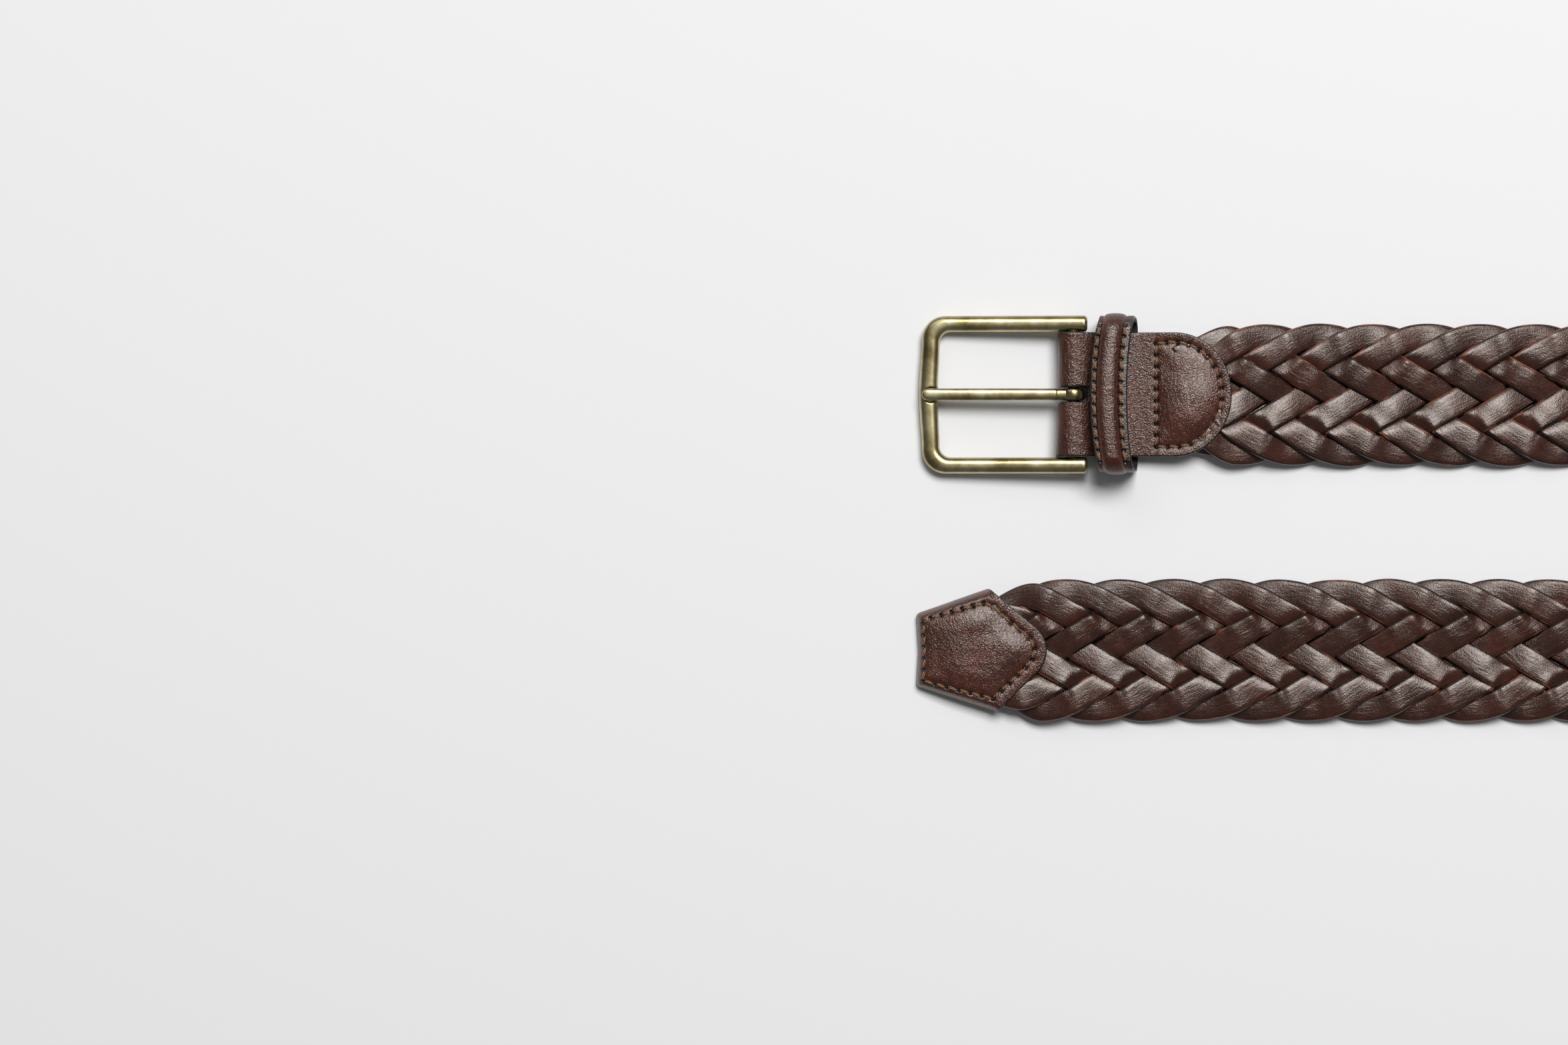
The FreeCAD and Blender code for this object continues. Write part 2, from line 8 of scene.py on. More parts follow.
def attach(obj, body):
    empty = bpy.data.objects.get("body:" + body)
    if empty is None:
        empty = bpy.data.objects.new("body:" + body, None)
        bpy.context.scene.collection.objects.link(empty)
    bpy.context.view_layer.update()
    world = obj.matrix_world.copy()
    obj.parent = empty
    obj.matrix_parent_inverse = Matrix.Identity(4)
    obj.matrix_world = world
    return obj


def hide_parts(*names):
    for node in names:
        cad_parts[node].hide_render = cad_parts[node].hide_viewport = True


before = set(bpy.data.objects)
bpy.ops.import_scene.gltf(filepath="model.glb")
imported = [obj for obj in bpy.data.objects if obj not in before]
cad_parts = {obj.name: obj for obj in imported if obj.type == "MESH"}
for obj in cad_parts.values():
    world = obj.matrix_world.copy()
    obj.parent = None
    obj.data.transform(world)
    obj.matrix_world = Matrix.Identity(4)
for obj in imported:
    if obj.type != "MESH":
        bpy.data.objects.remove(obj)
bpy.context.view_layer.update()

MM = 0.001

# ------------------------------------------------------------------ layout (mm)
RUN_SPACING = 72.0
TWIST_START, TWIST_LEN = 160.0, 130.0
STANDING = 79.8
R_FLARE, A_FLARE = 120.0, math.radians(15.0)
TIP_REACH = 44.0
PITCH, COUNT = 15.15, 9
PERIOD = PITCH * COUNT
AMP = 19.7
HALF_W = 19.75
PHASE = 55.2
BAR_Z = 5.55
R_BEND = (RUN_SPACING / 2 + R_FLARE * (1 - math.cos(A_FLARE))) / math.cos(A_FLARE)
U_STAND1 = TWIST_START + TWIST_LEN
U_FLARE1 = U_STAND1 + STANDING
U_BEND1 = U_FLARE1 + R_FLARE * A_FLARE
U_BEND2 = U_BEND1 + R_BEND * (math.pi + 2 * A_FLARE)
U_FLARE2 = U_BEND2 + R_FLARE * A_FLARE
U_STAND2 = U_FLARE2 + STANDING
U_FLAT2 = U_STAND2 + TWIST_LEN
TOTAL = U_FLAT2 + 160.0 + TIP_REACH
RIGHT = U_FLARE1 + (R_FLARE + R_BEND) * math.sin(A_FLARE) + R_BEND + 1.7
BAR_X = -(RIGHT - TIP_REACH) / 2
BAR_Y = RUN_SPACING / 2
TIP_X = BAR_X - TIP_REACH
THETA = math.atan(4 * AMP / PERIOD)


def smooth(t):
    t = np.clip(t, 0.0, 1.0)
    return t * t * (3 - 2 * t)


def lerp_table(x, table):
    xs, ys = zip(*table)
    return np.interp(x, xs, ys)


def wave(x, seed, scale, count=5):
    """Smooth seeded noise in about -1..1 along x, its coarsest feature about scale long."""
    rng = np.random.default_rng(seed)
    out = np.zeros_like(np.asarray(x, float))
    total = 0.0
    for i in range(count):
        f = 2 * math.pi / scale * (0.5 + i * 0.55 + 0.3 * rng.random())
        a = 1.0 / (1 + i)
        out = out + a * np.sin(f * x + rng.random() * 6.283)
        total += a
    return out / total * 1.6


# ------------------------------------------------------------------ strap map
def plan(u):
    """Centre line in plan and its heading, for an array of u."""
    u = np.asarray(u, float)
    marks = [0.0, U_FLARE1, U_BEND1, U_BEND2, U_FLARE2]
    curves = [0.0, 1 / R_FLARE, -1 / R_BEND, 1 / R_FLARE, 0.0]
    x = np.zeros_like(u)
    y = np.zeros_like(u)
    a = np.zeros_like(u)
    px, py, pa = BAR_X, BAR_Y, 0.0
    for i, (m, c) in enumerate(zip(marks, curves)):
        end = marks[i + 1] if i + 1 < len(marks) else 1e9
        inside = (u >= m) & (u < end) if i else (u < end)
        run = u - m
        if c == 0.0:
            x = np.where(inside, px + run * math.cos(pa), x)
            y = np.where(inside, py + run * math.sin(pa), y)
            a = np.where(inside, pa, a)
            if end < 1e8:
                px += (end - m) * math.cos(pa)
                py += (end - m) * math.sin(pa)
        else:
            b = pa + run * c
            x = np.where(inside, px + (np.sin(b) - math.sin(pa)) / c, x)
            y = np.where(inside, py + (math.cos(pa) - np.cos(b)) / c, y)
            a = np.where(inside, b, a)
            b = pa + (end - m) * c
            px += (math.sin(b) - math.sin(pa)) / c
            py += (math.cos(pa) - math.cos(b)) / c
            pa = b
    return x, y, a


def twist(u):
    return (smooth((u - TWIST_START) / TWIST_LEN) - smooth((u - U_STAND2) / TWIST_LEN)) * math.pi / 2


MID_FREE, MID_TAB, MID_TIP = 2.32, 3.75, 3.55


def height(u):
    flat = MID_TAB + (MID_FREE - MID_TAB) * smooth((u - 46.0) / 30.0)
    back = TOTAL - u
    flat = np.where(back < 120.0, MID_TIP + (MID_FREE - MID_TIP) * smooth((back - 38.0) / 30.0), flat)
    t = twist(u)
    return flat * np.cos(t) + (HALF_W + 0.12) * np.sin(t)


def narrowing(u):
    first = 0.8 + 0.2 * smooth((u - 31.0) / 15.0)
    last = 0.6 + 0.4 * smooth((TOTAL - u - 12.0) / 24.0)
    return np.minimum(first, last)


def strap_map(u, v, n):
    """Strap coordinates (along, across, off the middle) to the row frame, in mm."""
    x, y, a = plan(u)
    z = height(u)
    rise = (height(u + 0.01) - height(u - 0.01)) / 0.02
    size = np.sqrt(1 + rise ** 2)
    along = np.stack([np.cos(a) / size, np.sin(a) / size, rise / size], -1)
    side = np.stack([-np.sin(a), np.cos(a), np.zeros_like(a)], -1)
    up = np.cross(along, side)
    t = twist(u)[..., None]
    face = up * np.cos(t) + side * np.sin(t)
    across = side * np.cos(t) - up * np.sin(t)
    c = np.stack([x, y, z], -1)
    return c + across * (v * narrowing(u))[..., None] + face * np.asarray(n)[..., None]


# ------------------------------------------------------------------ one strand's path
R_TURN = 21.0
HALF_STRAND = 3.78
STAND_SPREAD = 0.07
TABLE_CLEAR = 0.03
V_PEAK = AMP - R_TURN * (1 / math.cos(THETA) - 1)
ARC = R_TURN * THETA
LEG = 2 * (V_PEAK - R_TURN * (1 - math.cos(THETA))) / math.sin(THETA)
HALF_RUN = 2 * ARC + LEG          # path length from one edge turn to the next
CYCLE = 2 * HALF_RUN


def path_at(s):
    """u and v of a strand's centre line and its heading, s from an upper edge turn."""
    s = np.asarray(s, float)
    k = np.floor(s / CYCLE)
    r = s - k * CYCLE
    rising = r >= HALF_RUN
    q = np.where(rising, r - HALF_RUN, r)
    a1 = np.clip(q, 0, ARC) / R_TURN
    a3 = np.clip(q - ARC - LEG, 0, ARC) / R_TURN
    run = np.clip(q - ARC, 0, LEG)
    u = R_TURN * np.sin(a1) + run * math.cos(THETA)
    u = u + R_TURN * (math.sin(THETA) - np.sin(THETA - a3))
    v = V_PEAK - R_TURN * (1 - np.cos(a1)) - run * math.sin(THETA)
    v = v - R_TURN * (np.cos(THETA - a3) - math.cos(THETA))
    h = -(a1 - a3)
    u = u + np.where(rising, PERIOD / 2, 0.0) + k * PERIOD
    v = np.where(rising, -v, v)
    h = np.where(rising, -h, h)
    return u, v, h


def top_side(w):
    """Height of a strand's grain side over its middle layer, w from -1 to 1 across."""
    a = np.abs(w)
    return 0.66 + 0.27 * (1 - a ** 2) - 0.40 * np.clip((a - 0.85) / 0.15, 0, 1) ** 2


def low_side(w):
    a = np.abs(w)
    return 0.62 + 0.12 * (1 - a ** 2) - 0.22 * np.clip((a - 0.8) / 0.2, 0, 1) ** 2


def relax(steps, across=9, samples=288):
    """Settles one strand of the repeating plait: its height and roll along the path, held apart
    where strands cross over two and under two, and kept as flat as its stiffness asks."""
    ds = CYCLE / samples
    s = (np.arange(samples) + 0.5) * ds
    w = np.linspace(-1, 1, across)
    u, v, h = path_at(s)
    nu, nv = -np.sin(h), np.cos(h)
    pu = u[:, None] + nu[:, None] * w[None] * HALF_STRAND
    pv = v[:, None] + nv[:, None] * w[None] * HALF_STRAND
    half = samples // 2
    A, J, B, W, S = [], [], [], [], []
    for mine in (0, 1):
        rows = np.arange(mine * half, (mine + 1) * half)
        # the rising half is taken before its own upper turn, so that turn is at u = 0
        du = pu[rows] - (PERIOD if mine else 0.0)
        for other in (0, 1):
            cols = np.arange(other * half, (other + 1) * half)
            cu0 = u[cols] - (PERIOD if other else 0.0)
            for k in range(-9, 10):
                if k == 0:
                    continue
                if mine == other:
                    if abs(k) > 2:
                        continue
                    sign = -1.0 if k > 0 else 1.0
                else:
                    # gap between the rising strand's upper turn and the falling one's
                    j = k if mine == 0 else -k
                    if j < 1 or j > 8:
                        continue
                    rising_over = j in (1, 2, 5, 6)
                    sign = 1.0 if rising_over == (mine == 1) else -1.0
                d2 = (du[..., None] - cu0 - k * PITCH) ** 2 + (pv[rows][..., None] - v[cols]) ** 2
                near = d2.argmin(-1)
                f = cols[near]
                rel_u = du - (u[f] - (PERIOD if other else 0.0)) - k * PITCH
                rel_v = pv[rows] - v[f]
                tang = rel_u * np.cos(h[f]) + rel_v * np.sin(h[f])
                off = -rel_u * np.sin(h[f]) + rel_v * np.cos(h[f])
                ok = (np.abs(tang) < 0.8 * ds) & (np.abs(off) < HALF_STRAND)
                a, j2 = np.nonzero(ok)
                A.append(rows[a])
                J.append(j2)
                B.append(f[a, j2])
                W.append(off[a, j2] / HALF_STRAND)
                S.append(np.full(len(a), sign))
    A, J, B, W, S = (np.concatenate(x) for x in (A, J, B, W, S))
    mine_w = w[J]
    need = np.where(S > 0, low_side(mine_w) + top_side(W), top_side(mine_w) + low_side(W))
    z0 = np.zeros(samples)
    roll = np.zeros(samples)
    np.add.at(z0, A, S * 0.02)
    z0 = np.clip(z0, -0.8, 0.8)
    ww = (w ** 2).sum()
    flat = A * across + J
    for _ in range(steps):
        zb = z0[B] + roll[B] * W
        za = z0[A] + roll[A] * mine_w
        short = np.maximum(0.0, need - S * (za - zb)) * S * 0.5
        up = np.zeros(samples * across)
        down = np.zeros(samples * across)
        np.maximum.at(up, flat, short)
        np.minimum.at(down, flat, short)
        d = (up + down).reshape(samples, across)
        z0 = z0 + 1.3 * d.mean(1)
        roll = roll + 1.3 * (d * w).sum(1) / ww
        z0 = z0 + 0.12 * (np.roll(z0, 1) + np.roll(z0, -1) - 2 * z0)
        roll = roll + 0.15 * (np.roll(roll, 1) + np.roll(roll, -1) - 2 * roll)
        roll = roll * 0.999
    # the two faces of the plait mirror each other, half a cycle on
    return z0, roll, CYCLE / samples


SET_Z, SET_ROLL, SET_DS = relax(420)


def settled(s, table):
    r = np.mod(s / SET_DS - 0.5, len(table))
    i = np.floor(r).astype(int)
    f = r - i
    return table[i % len(table)] * (1 - f) + table[(i + 1) % len(table)] * f


# ------------------------------------------------------------------ mesh helpers
def mesh_object(name, verts, faces, uv=None, attrs=None, smooth_faces=True, scale=MM):
    me = bpy.data.meshes.new(name)
    verts = np.asarray(verts, float) * scale
    me.from_pydata(verts.tolist(), [], [list(map(int, f)) for f in faces])
    me.update()
    if smooth_faces:
        me.polygons.foreach_set("use_smooth", [True] * len(me.polygons))
    loops = np.zeros(len(me.loops), np.int32)
    me.loops.foreach_get("vertex_index", loops)
    if uv is not None:
        layer = me.uv_layers.new(name="UVMap")
        layer.data.foreach_set("uv", np.asarray(uv, float)[loops].ravel())
    for key, values in (attrs or {}).items():
        at = me.attributes.new(key, "FLOAT", "POINT")
        at.data.foreach_set("value", np.asarray(values, float))
    obj = bpy.data.objects.new(name, me)
    bpy.context.scene.collection.objects.link(obj)
    return obj


def tube_faces(rings, around, base=0, closed=False):
    faces = []
    count = rings if closed else rings - 1
    for i in range(count):
        a = base + i * around
        b = base + ((i + 1) % rings) * around
        for j in range(around):
            k = (j + 1) % around
            faces.append((a + j, a + k, b + k, b + j))
    if not closed:
        faces.append(tuple(base + j for j in range(around))[::-1])
        last = base + (rings - 1) * around
        faces.append(tuple(last + j for j in range(around)))
    return faces


def cumulative(steps):
    """Distance along a line at each of its points, from the lengths of its steps."""
    return np.concatenate([[0], np.cumsum(steps)])


def round_edge(d, radius, depth=None):
    """How far a rounded edge lies below its face, at a distance d inside the edge."""
    drop = 1 - np.sqrt(np.clip(1 - (1 - np.clip(d / radius, 0, 1)) ** 2, 0, 1))
    return (radius if depth is None else depth) * drop


def signed_power(value, power):
    """A power that keeps the sign, which squares off a round section."""
    return np.sign(value) * np.abs(value) ** power


def ring_uv(along, phi):
    """UV of a tube's rings: along it in u, once round it in v."""
    return np.stack([np.repeat(along[:, None], len(phi), 1), np.repeat(phi[None] / 6.283, len(along), 0)], -1)


# ------------------------------------------------------------------ strands
RING = []
for w in (-0.985, -0.93, -0.82, -0.6, -0.32, 0.0, 0.32, 0.6, 0.82, 0.93, 0.985):
    RING.append((w, float(top_side(w)) * (0.97 if abs(w) < 0.9 else 0.9 if abs(w) < 0.97 else 0.62), 1.0))
for w in (1.0, 0.97, 0.85, 0.5, 0.0, -0.5, -0.85, -0.97, -1.0):
    RING.append((w, -float(low_side(w)) * (0.98 if abs(w) < 0.9 else 0.75 if abs(w) < 0.99 else 0.1), -1.0))


def build_strand(index, material):
    step = 0.8
    apex0 = PHASE + index * PITCH - PERIOD
    first = 29.0
    last = TOTAL - 12.5
    s = np.arange(-CYCLE, CYCLE * 9.5, step)
    u, v, h = path_at(s)
    u = u + apex0
    keep = (u > first) & (u < last)
    s, u, v, h = s[keep], u[keep], v[keep], h[keep]
    z = settled(s, SET_Z)
    roll = settled(s, SET_ROLL)
    # no two strands lie quite alike
    seed = 100 + index * 7
    v = v + 0.18 * wave(s, seed, 55.0)
    z = z + 0.10 * wave(s, seed + 1, 24.0)
    roll = roll + 0.10 * wave(s, seed + 2, 30.0)
    wide = HALF_STRAND * (1 + 0.03 * wave(s, seed + 3, 26.0))
    thick = 1 + 0.07 * wave(s, seed + 4, 18.0)
    turn = np.abs(v) / V_PEAK
    wide = wide * (1 - 0.05 * np.clip((turn - 0.75) / 0.25, 0, 1))
    u = u + 0.12 * wave(s, seed + 5, 70.0)
    # pressed a little wider where the strap stands on edge, which closes the plait there
    wide = wide * (1 + STAND_SPREAD * np.sin(twist(u)) ** 2)
    ring = np.array(RING)
    n = len(ring)
    w = ring[:, 0][None]
    hh = ring[:, 1][None] * thick[:, None]
    # slight cupping that changes along the strand
    cup = 0.10 * wave(s, seed + 6, 21.0)
    hh = hh + cup[:, None] * (w ** 2 - 0.4)
    tilt = np.arctan(roll / HALF_STRAND)[:, None]
    side = w * wide[:, None]
    a = side * np.cos(tilt) - hh * np.sin(tilt)
    b = side * np.sin(tilt) + hh * np.cos(tilt)
    uu = u[:, None] - np.sin(h)[:, None] * a
    vv = v[:, None] + np.cos(h)[:, None] * a
    zz = z[:, None] + b
    verts = strap_map(uu, vv, zz).reshape(-1, 3)
    # the plait rests on the table, so nothing of it lies lower
    verts[:, 2] = np.maximum(verts[:, 2], TABLE_CLEAR)
    faces = tube_faces(len(s), n)
    # texture place: mm along, mm across; the underside sits beyond the edges
    across = np.where(ring[:, 2] > 0, ring[:, 0], np.sign(ring[:, 0] + 1e-9) * (2 - np.abs(ring[:, 0])))
    uv = np.stack([
        np.repeat(s[:, None] / 100.0, n, 1) + index * 20.37,
        np.repeat(across[None] * 0.5 + 0.5, len(s), 0)], -1).reshape(-1, 2)
    # how deep a place lies in the plait, seen from its own side; the material paints shade with it where the
    # strand dives under its neighbours
    deep = np.repeat(np.clip(0.5 - z / 1.7, 0, 1)[:, None], n, 1)
    deep = np.where(ring[:, 2][None] > 0, deep, 1 - deep).reshape(-1)
    rim = np.repeat(np.abs(ring[:, 0])[None], len(s), 0).reshape(-1)
    under = np.repeat((ring[:, 2] < 0).astype(float)[None], len(s), 0).reshape(-1)
    obj = mesh_object("braid_strand_%d" % (index + 1), verts, faces, uv,
                      {"deep": deep, "rim": rim, "under": under})
    obj.data.materials.append(material)
    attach(obj, "strap")
    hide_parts("strand_%d" % (index + 1))
    return obj


# ------------------------------------------------------------------ materials
def srgb(r, g, b):
    out = []
    for c in (r, g, b):
        c = c / 255.0
        out.append(c / 12.92 if c <= 0.04045 else ((c + 0.055) / 1.055) ** 2.4)
    return (*out, 1.0)


class Nodes:
    """Short way to write a node material."""

    def __init__(self, name):
        self.mat = bpy.data.materials.new(name)
        self.mat.use_nodes = True
        self.tree = self.mat.node_tree
        self.bsdf = self.tree.nodes["Principled BSDF"]

    def put(self, kind, inputs=None, **props):
        node = self.tree.nodes.new(kind)
        for k, val in props.items():
            setattr(node, k, val)
        for k, val in (inputs or {}).items():
            self.set(node.inputs[k], val)
        return node

    def set(self, socket, val):
        if isinstance(val, bpy.types.NodeSocket):
            self.tree.links.new(val, socket)
        else:
            socket.default_value = val

    def uv(self):
        return self.put("ShaderNodeUVMap", uv_map="UVMap").outputs["UV"]

    def times(self, vector, factors):
        return self.put("ShaderNodeVectorMath", {0: vector, 1: factors}, operation="MULTIPLY").outputs[0]

    def even(self, values):
        """Values that are the same all over, on the shader's own sockets."""
        for socket, value in values.items():
            self.bsdf.inputs[socket].default_value = value

    def math(self, op, a, b=0.0, c=0.0, clamp=False):
        node = self.put("ShaderNodeMath", {0: a, 1: b, 2: c}, operation=op, use_clamp=clamp)
        return node.outputs[0]

    def noise(self, vector, scale, detail=3.0, rough=0.55, distort=0.0):
        node = self.put("ShaderNodeTexNoise", {"Vector": vector, "Scale": scale, "Detail": detail,
                                               "Roughness": rough, "Distortion": distort})
        return node.outputs["Fac"]

    def ramp(self, fac, stops):
        node = self.put("ShaderNodeValToRGB", {"Fac": fac})
        els = node.color_ramp.elements
        els[0].position, els[0].color = stops[0]
        els[1].position, els[1].color = stops[-1]
        for pos, col in stops[1:-1]:
            e = els.new(pos)
            e.color = col
        return node.outputs["Color"]

    def mix(self, fac, a, b):
        node = self.put("ShaderNodeMix", data_type="RGBA")
        self.set(node.inputs[0], fac)
        self.set(node.inputs[6], a)
        self.set(node.inputs[7], b)
        return node.outputs[2]

    def attr(self, name):
        return self.put("ShaderNodeAttribute", attribute_name=name).outputs["Fac"]

    def span(self, value, lo, hi, to_lo=0.0, to_hi=1.0):
        node = self.put("ShaderNodeMapRange", {"Value": value, "From Min": lo, "From Max": hi,
                                               "To Min": to_lo, "To Max": to_hi})
        return node.outputs["Result"]

    def bump(self, height, strength, distance, normal=None):
        node = self.put("ShaderNodeBump", {"Strength": strength, "Distance": distance, "Height": height})
        if normal is not None:
            self.set(node.inputs["Normal"], normal)
        return node.outputs["Normal"]


WARM = (1.0, 0.88, 0.80, 1.0)    # tint of the dyed leather's gloss


def braid_material():
    n = Nodes("braid_leather")
    uv = n.uv()
    sep = n.put("ShaderNodeSeparateXYZ", {0: uv})
    along = n.math("MULTIPLY", sep.outputs[0], 100.0)
    across = n.math("MULTIPLY", sep.outputs[1], 7.2)
    # coordinates in millimetres: along and across the strand
    place = n.put("ShaderNodeCombineXYZ", {0: along, 1: across, 2: 0.0}).outputs[0]
    slower = n.math("MULTIPLY", along, 0.22)
    stretched = n.put("ShaderNodeCombineXYZ", {0: slower, 1: across, 2: 0.0}).outputs[0]
    slow = n.noise(place, 0.06, 2.0)
    patch = n.noise(place, 0.35, 4.0, 0.6)
    fibre = n.noise(stretched, 2.2, 5.0, 0.65, 0.4)
    crease = n.noise(stretched, 0.9, 3.0, 0.6, 1.0)
    rim = n.attr("rim")
    deep = n.attr("deep")
    under = n.attr("under")
    base = n.ramp(n.math("ADD", n.math("MULTIPLY", slow, 0.6), n.math("MULTIPLY", patch, 0.4)), [
        (0.30, srgb(30, 12, 7)), (0.5, srgb(48, 20, 13)), (0.68, srgb(68, 31, 20))])
    base = n.mix(n.span(fibre, 0.4, 0.75, 0.0, 0.2), base, srgb(98, 54, 38))
    # painted shade: darker where the strand dives under its neighbours
    base = n.mix(n.span(deep, 0.5, 1.0, 0.0, 0.8), base, srgb(17, 7, 5))
    # cut edges: dyed nearly black and darkened further as painted shade of the narrow gaps between strands,
    # the raw reddish leather showing in places
    raw = n.ramp(n.noise(place, 0.5, 3.0), [(0.35, srgb(72, 30, 18)), (0.65, srgb(138, 78, 50))])
    wander = n.math("MULTIPLY", n.span(crease, 0.3, 0.7, -1.0, 1.0), 0.012)
    side = n.math("ADD", rim, wander)
    col = n.mix(n.span(side, 0.83, 0.88), base, srgb(12, 6, 5))
    # one cut side of each strand shows its raw leather more often than the other
    lean = n.span(sep.outputs[1], 0.0, 1.0, 0.57, 0.45)
    shown = n.noise(place, 0.11, 2.0)
    edge = n.math("MULTIPLY", n.span(side, 0.87, 0.91),
                  n.span(n.math("SUBTRACT", shown, lean), -0.02, 0.06), clamp=True)
    col = n.mix(edge, col, raw)
    flesh = n.ramp(fibre, [(0.3, srgb(74, 42, 30)), (0.7, srgb(112, 70, 50))])
    col = n.mix(under, col, flesh)
    n.set(n.bsdf.inputs["Base Color"], col)
    gloss = n.math("ADD", n.span(patch, 0.3, 0.7, 0.21, 0.33), n.math("MULTIPLY", edge, 0.3))
    gloss = n.math("ADD", gloss, n.math("MULTIPLY", under, 0.35))
    n.set(n.bsdf.inputs["Roughness"], gloss)
    n.even({"IOR": 1.5, "Specular IOR Level": 0.8, "Specular Tint": WARM, "Coat Weight": 0.2,
            "Coat Roughness": 0.28})
    pores = n.put("ShaderNodeTexVoronoi", {"Vector": place, "Scale": 2.6}).outputs["Distance"]
    grain = n.noise(place, 3.0, 5.0, 0.7)
    normal = n.bump(crease, 0.35, 0.0004)
    normal = n.bump(fibre, 0.2, 0.0002, normal)
    normal = n.bump(pores, 0.3, 0.00012, normal)
    normal = n.bump(grain, 0.4, 0.00014, normal)
    n.set(n.bsdf.inputs["Normal"], normal)
    return n.mat


MAT_BRAID = braid_material()
for i in range(COUNT):
    build_strand(i, MAT_BRAID)

# ------------------------------------------------------------------ leather pieces
def inside(points, loop):
    """Which points lie inside a closed loop of points."""
    x, y = points[:, 0], points[:, 1]
    out = np.zeros(len(points), bool)
    for (ax, ay), (bx, by) in zip(loop, np.roll(loop, -1, 0)):
        cross = (ay > y) != (by > y)
        if cross.any():
            at = ax + (y - ay) * (bx - ax) / ((by - ay) if by != ay else 1e-12)
            out ^= cross & (x < at)
    return out


def loop_distance(points, loop):
    """Distance from each point to the nearest side of a closed loop."""
    best = np.full(len(points), 1e9)
    for a, b in zip(loop, np.roll(loop, -1, 0)):
        d = b - a
        t = np.clip(((points - a) @ d) / max(float(d @ d), 1e-12), 0, 1)
        best = np.minimum(best, np.linalg.norm(points - a - t[:, None] * d, axis=1))
    return best


def resample(points, step, closed=True):
    """Evenly spaced points along a line or a closed loop."""
    p = np.asarray(points, float)
    if closed:
        p = np.vstack([p, p[:1]])
    run = cumulative(np.linalg.norm(np.diff(p, axis=0), axis=1))
    count = max(3, int(round(run[-1] / step)))
    at = np.linspace(0, run[-1], count, endpoint=not closed)
    return np.stack([np.interp(at, run, p[:, k]) for k in range(p.shape[1])], 1)


def loop_normals(loop):
    d = np.roll(loop, -1, 0) - np.roll(loop, 1, 0)
    n = np.stack([-d[:, 1], d[:, 0]], 1)
    n = n / np.maximum(np.linalg.norm(n, axis=1), 1e-9)[:, None]
    area = 0.5 * np.sum(loop[:, 0] * np.roll(loop[:, 1], -1) - loop[:, 1] * np.roll(loop[:, 0], -1))
    return n if area > 0 else -n


RIM_INSETS = (0.06, 0.16, 0.3, 0.48, 0.75, 1.15)
HOLE_DARK, HOLE_DEPTH = 1.0, 0.8


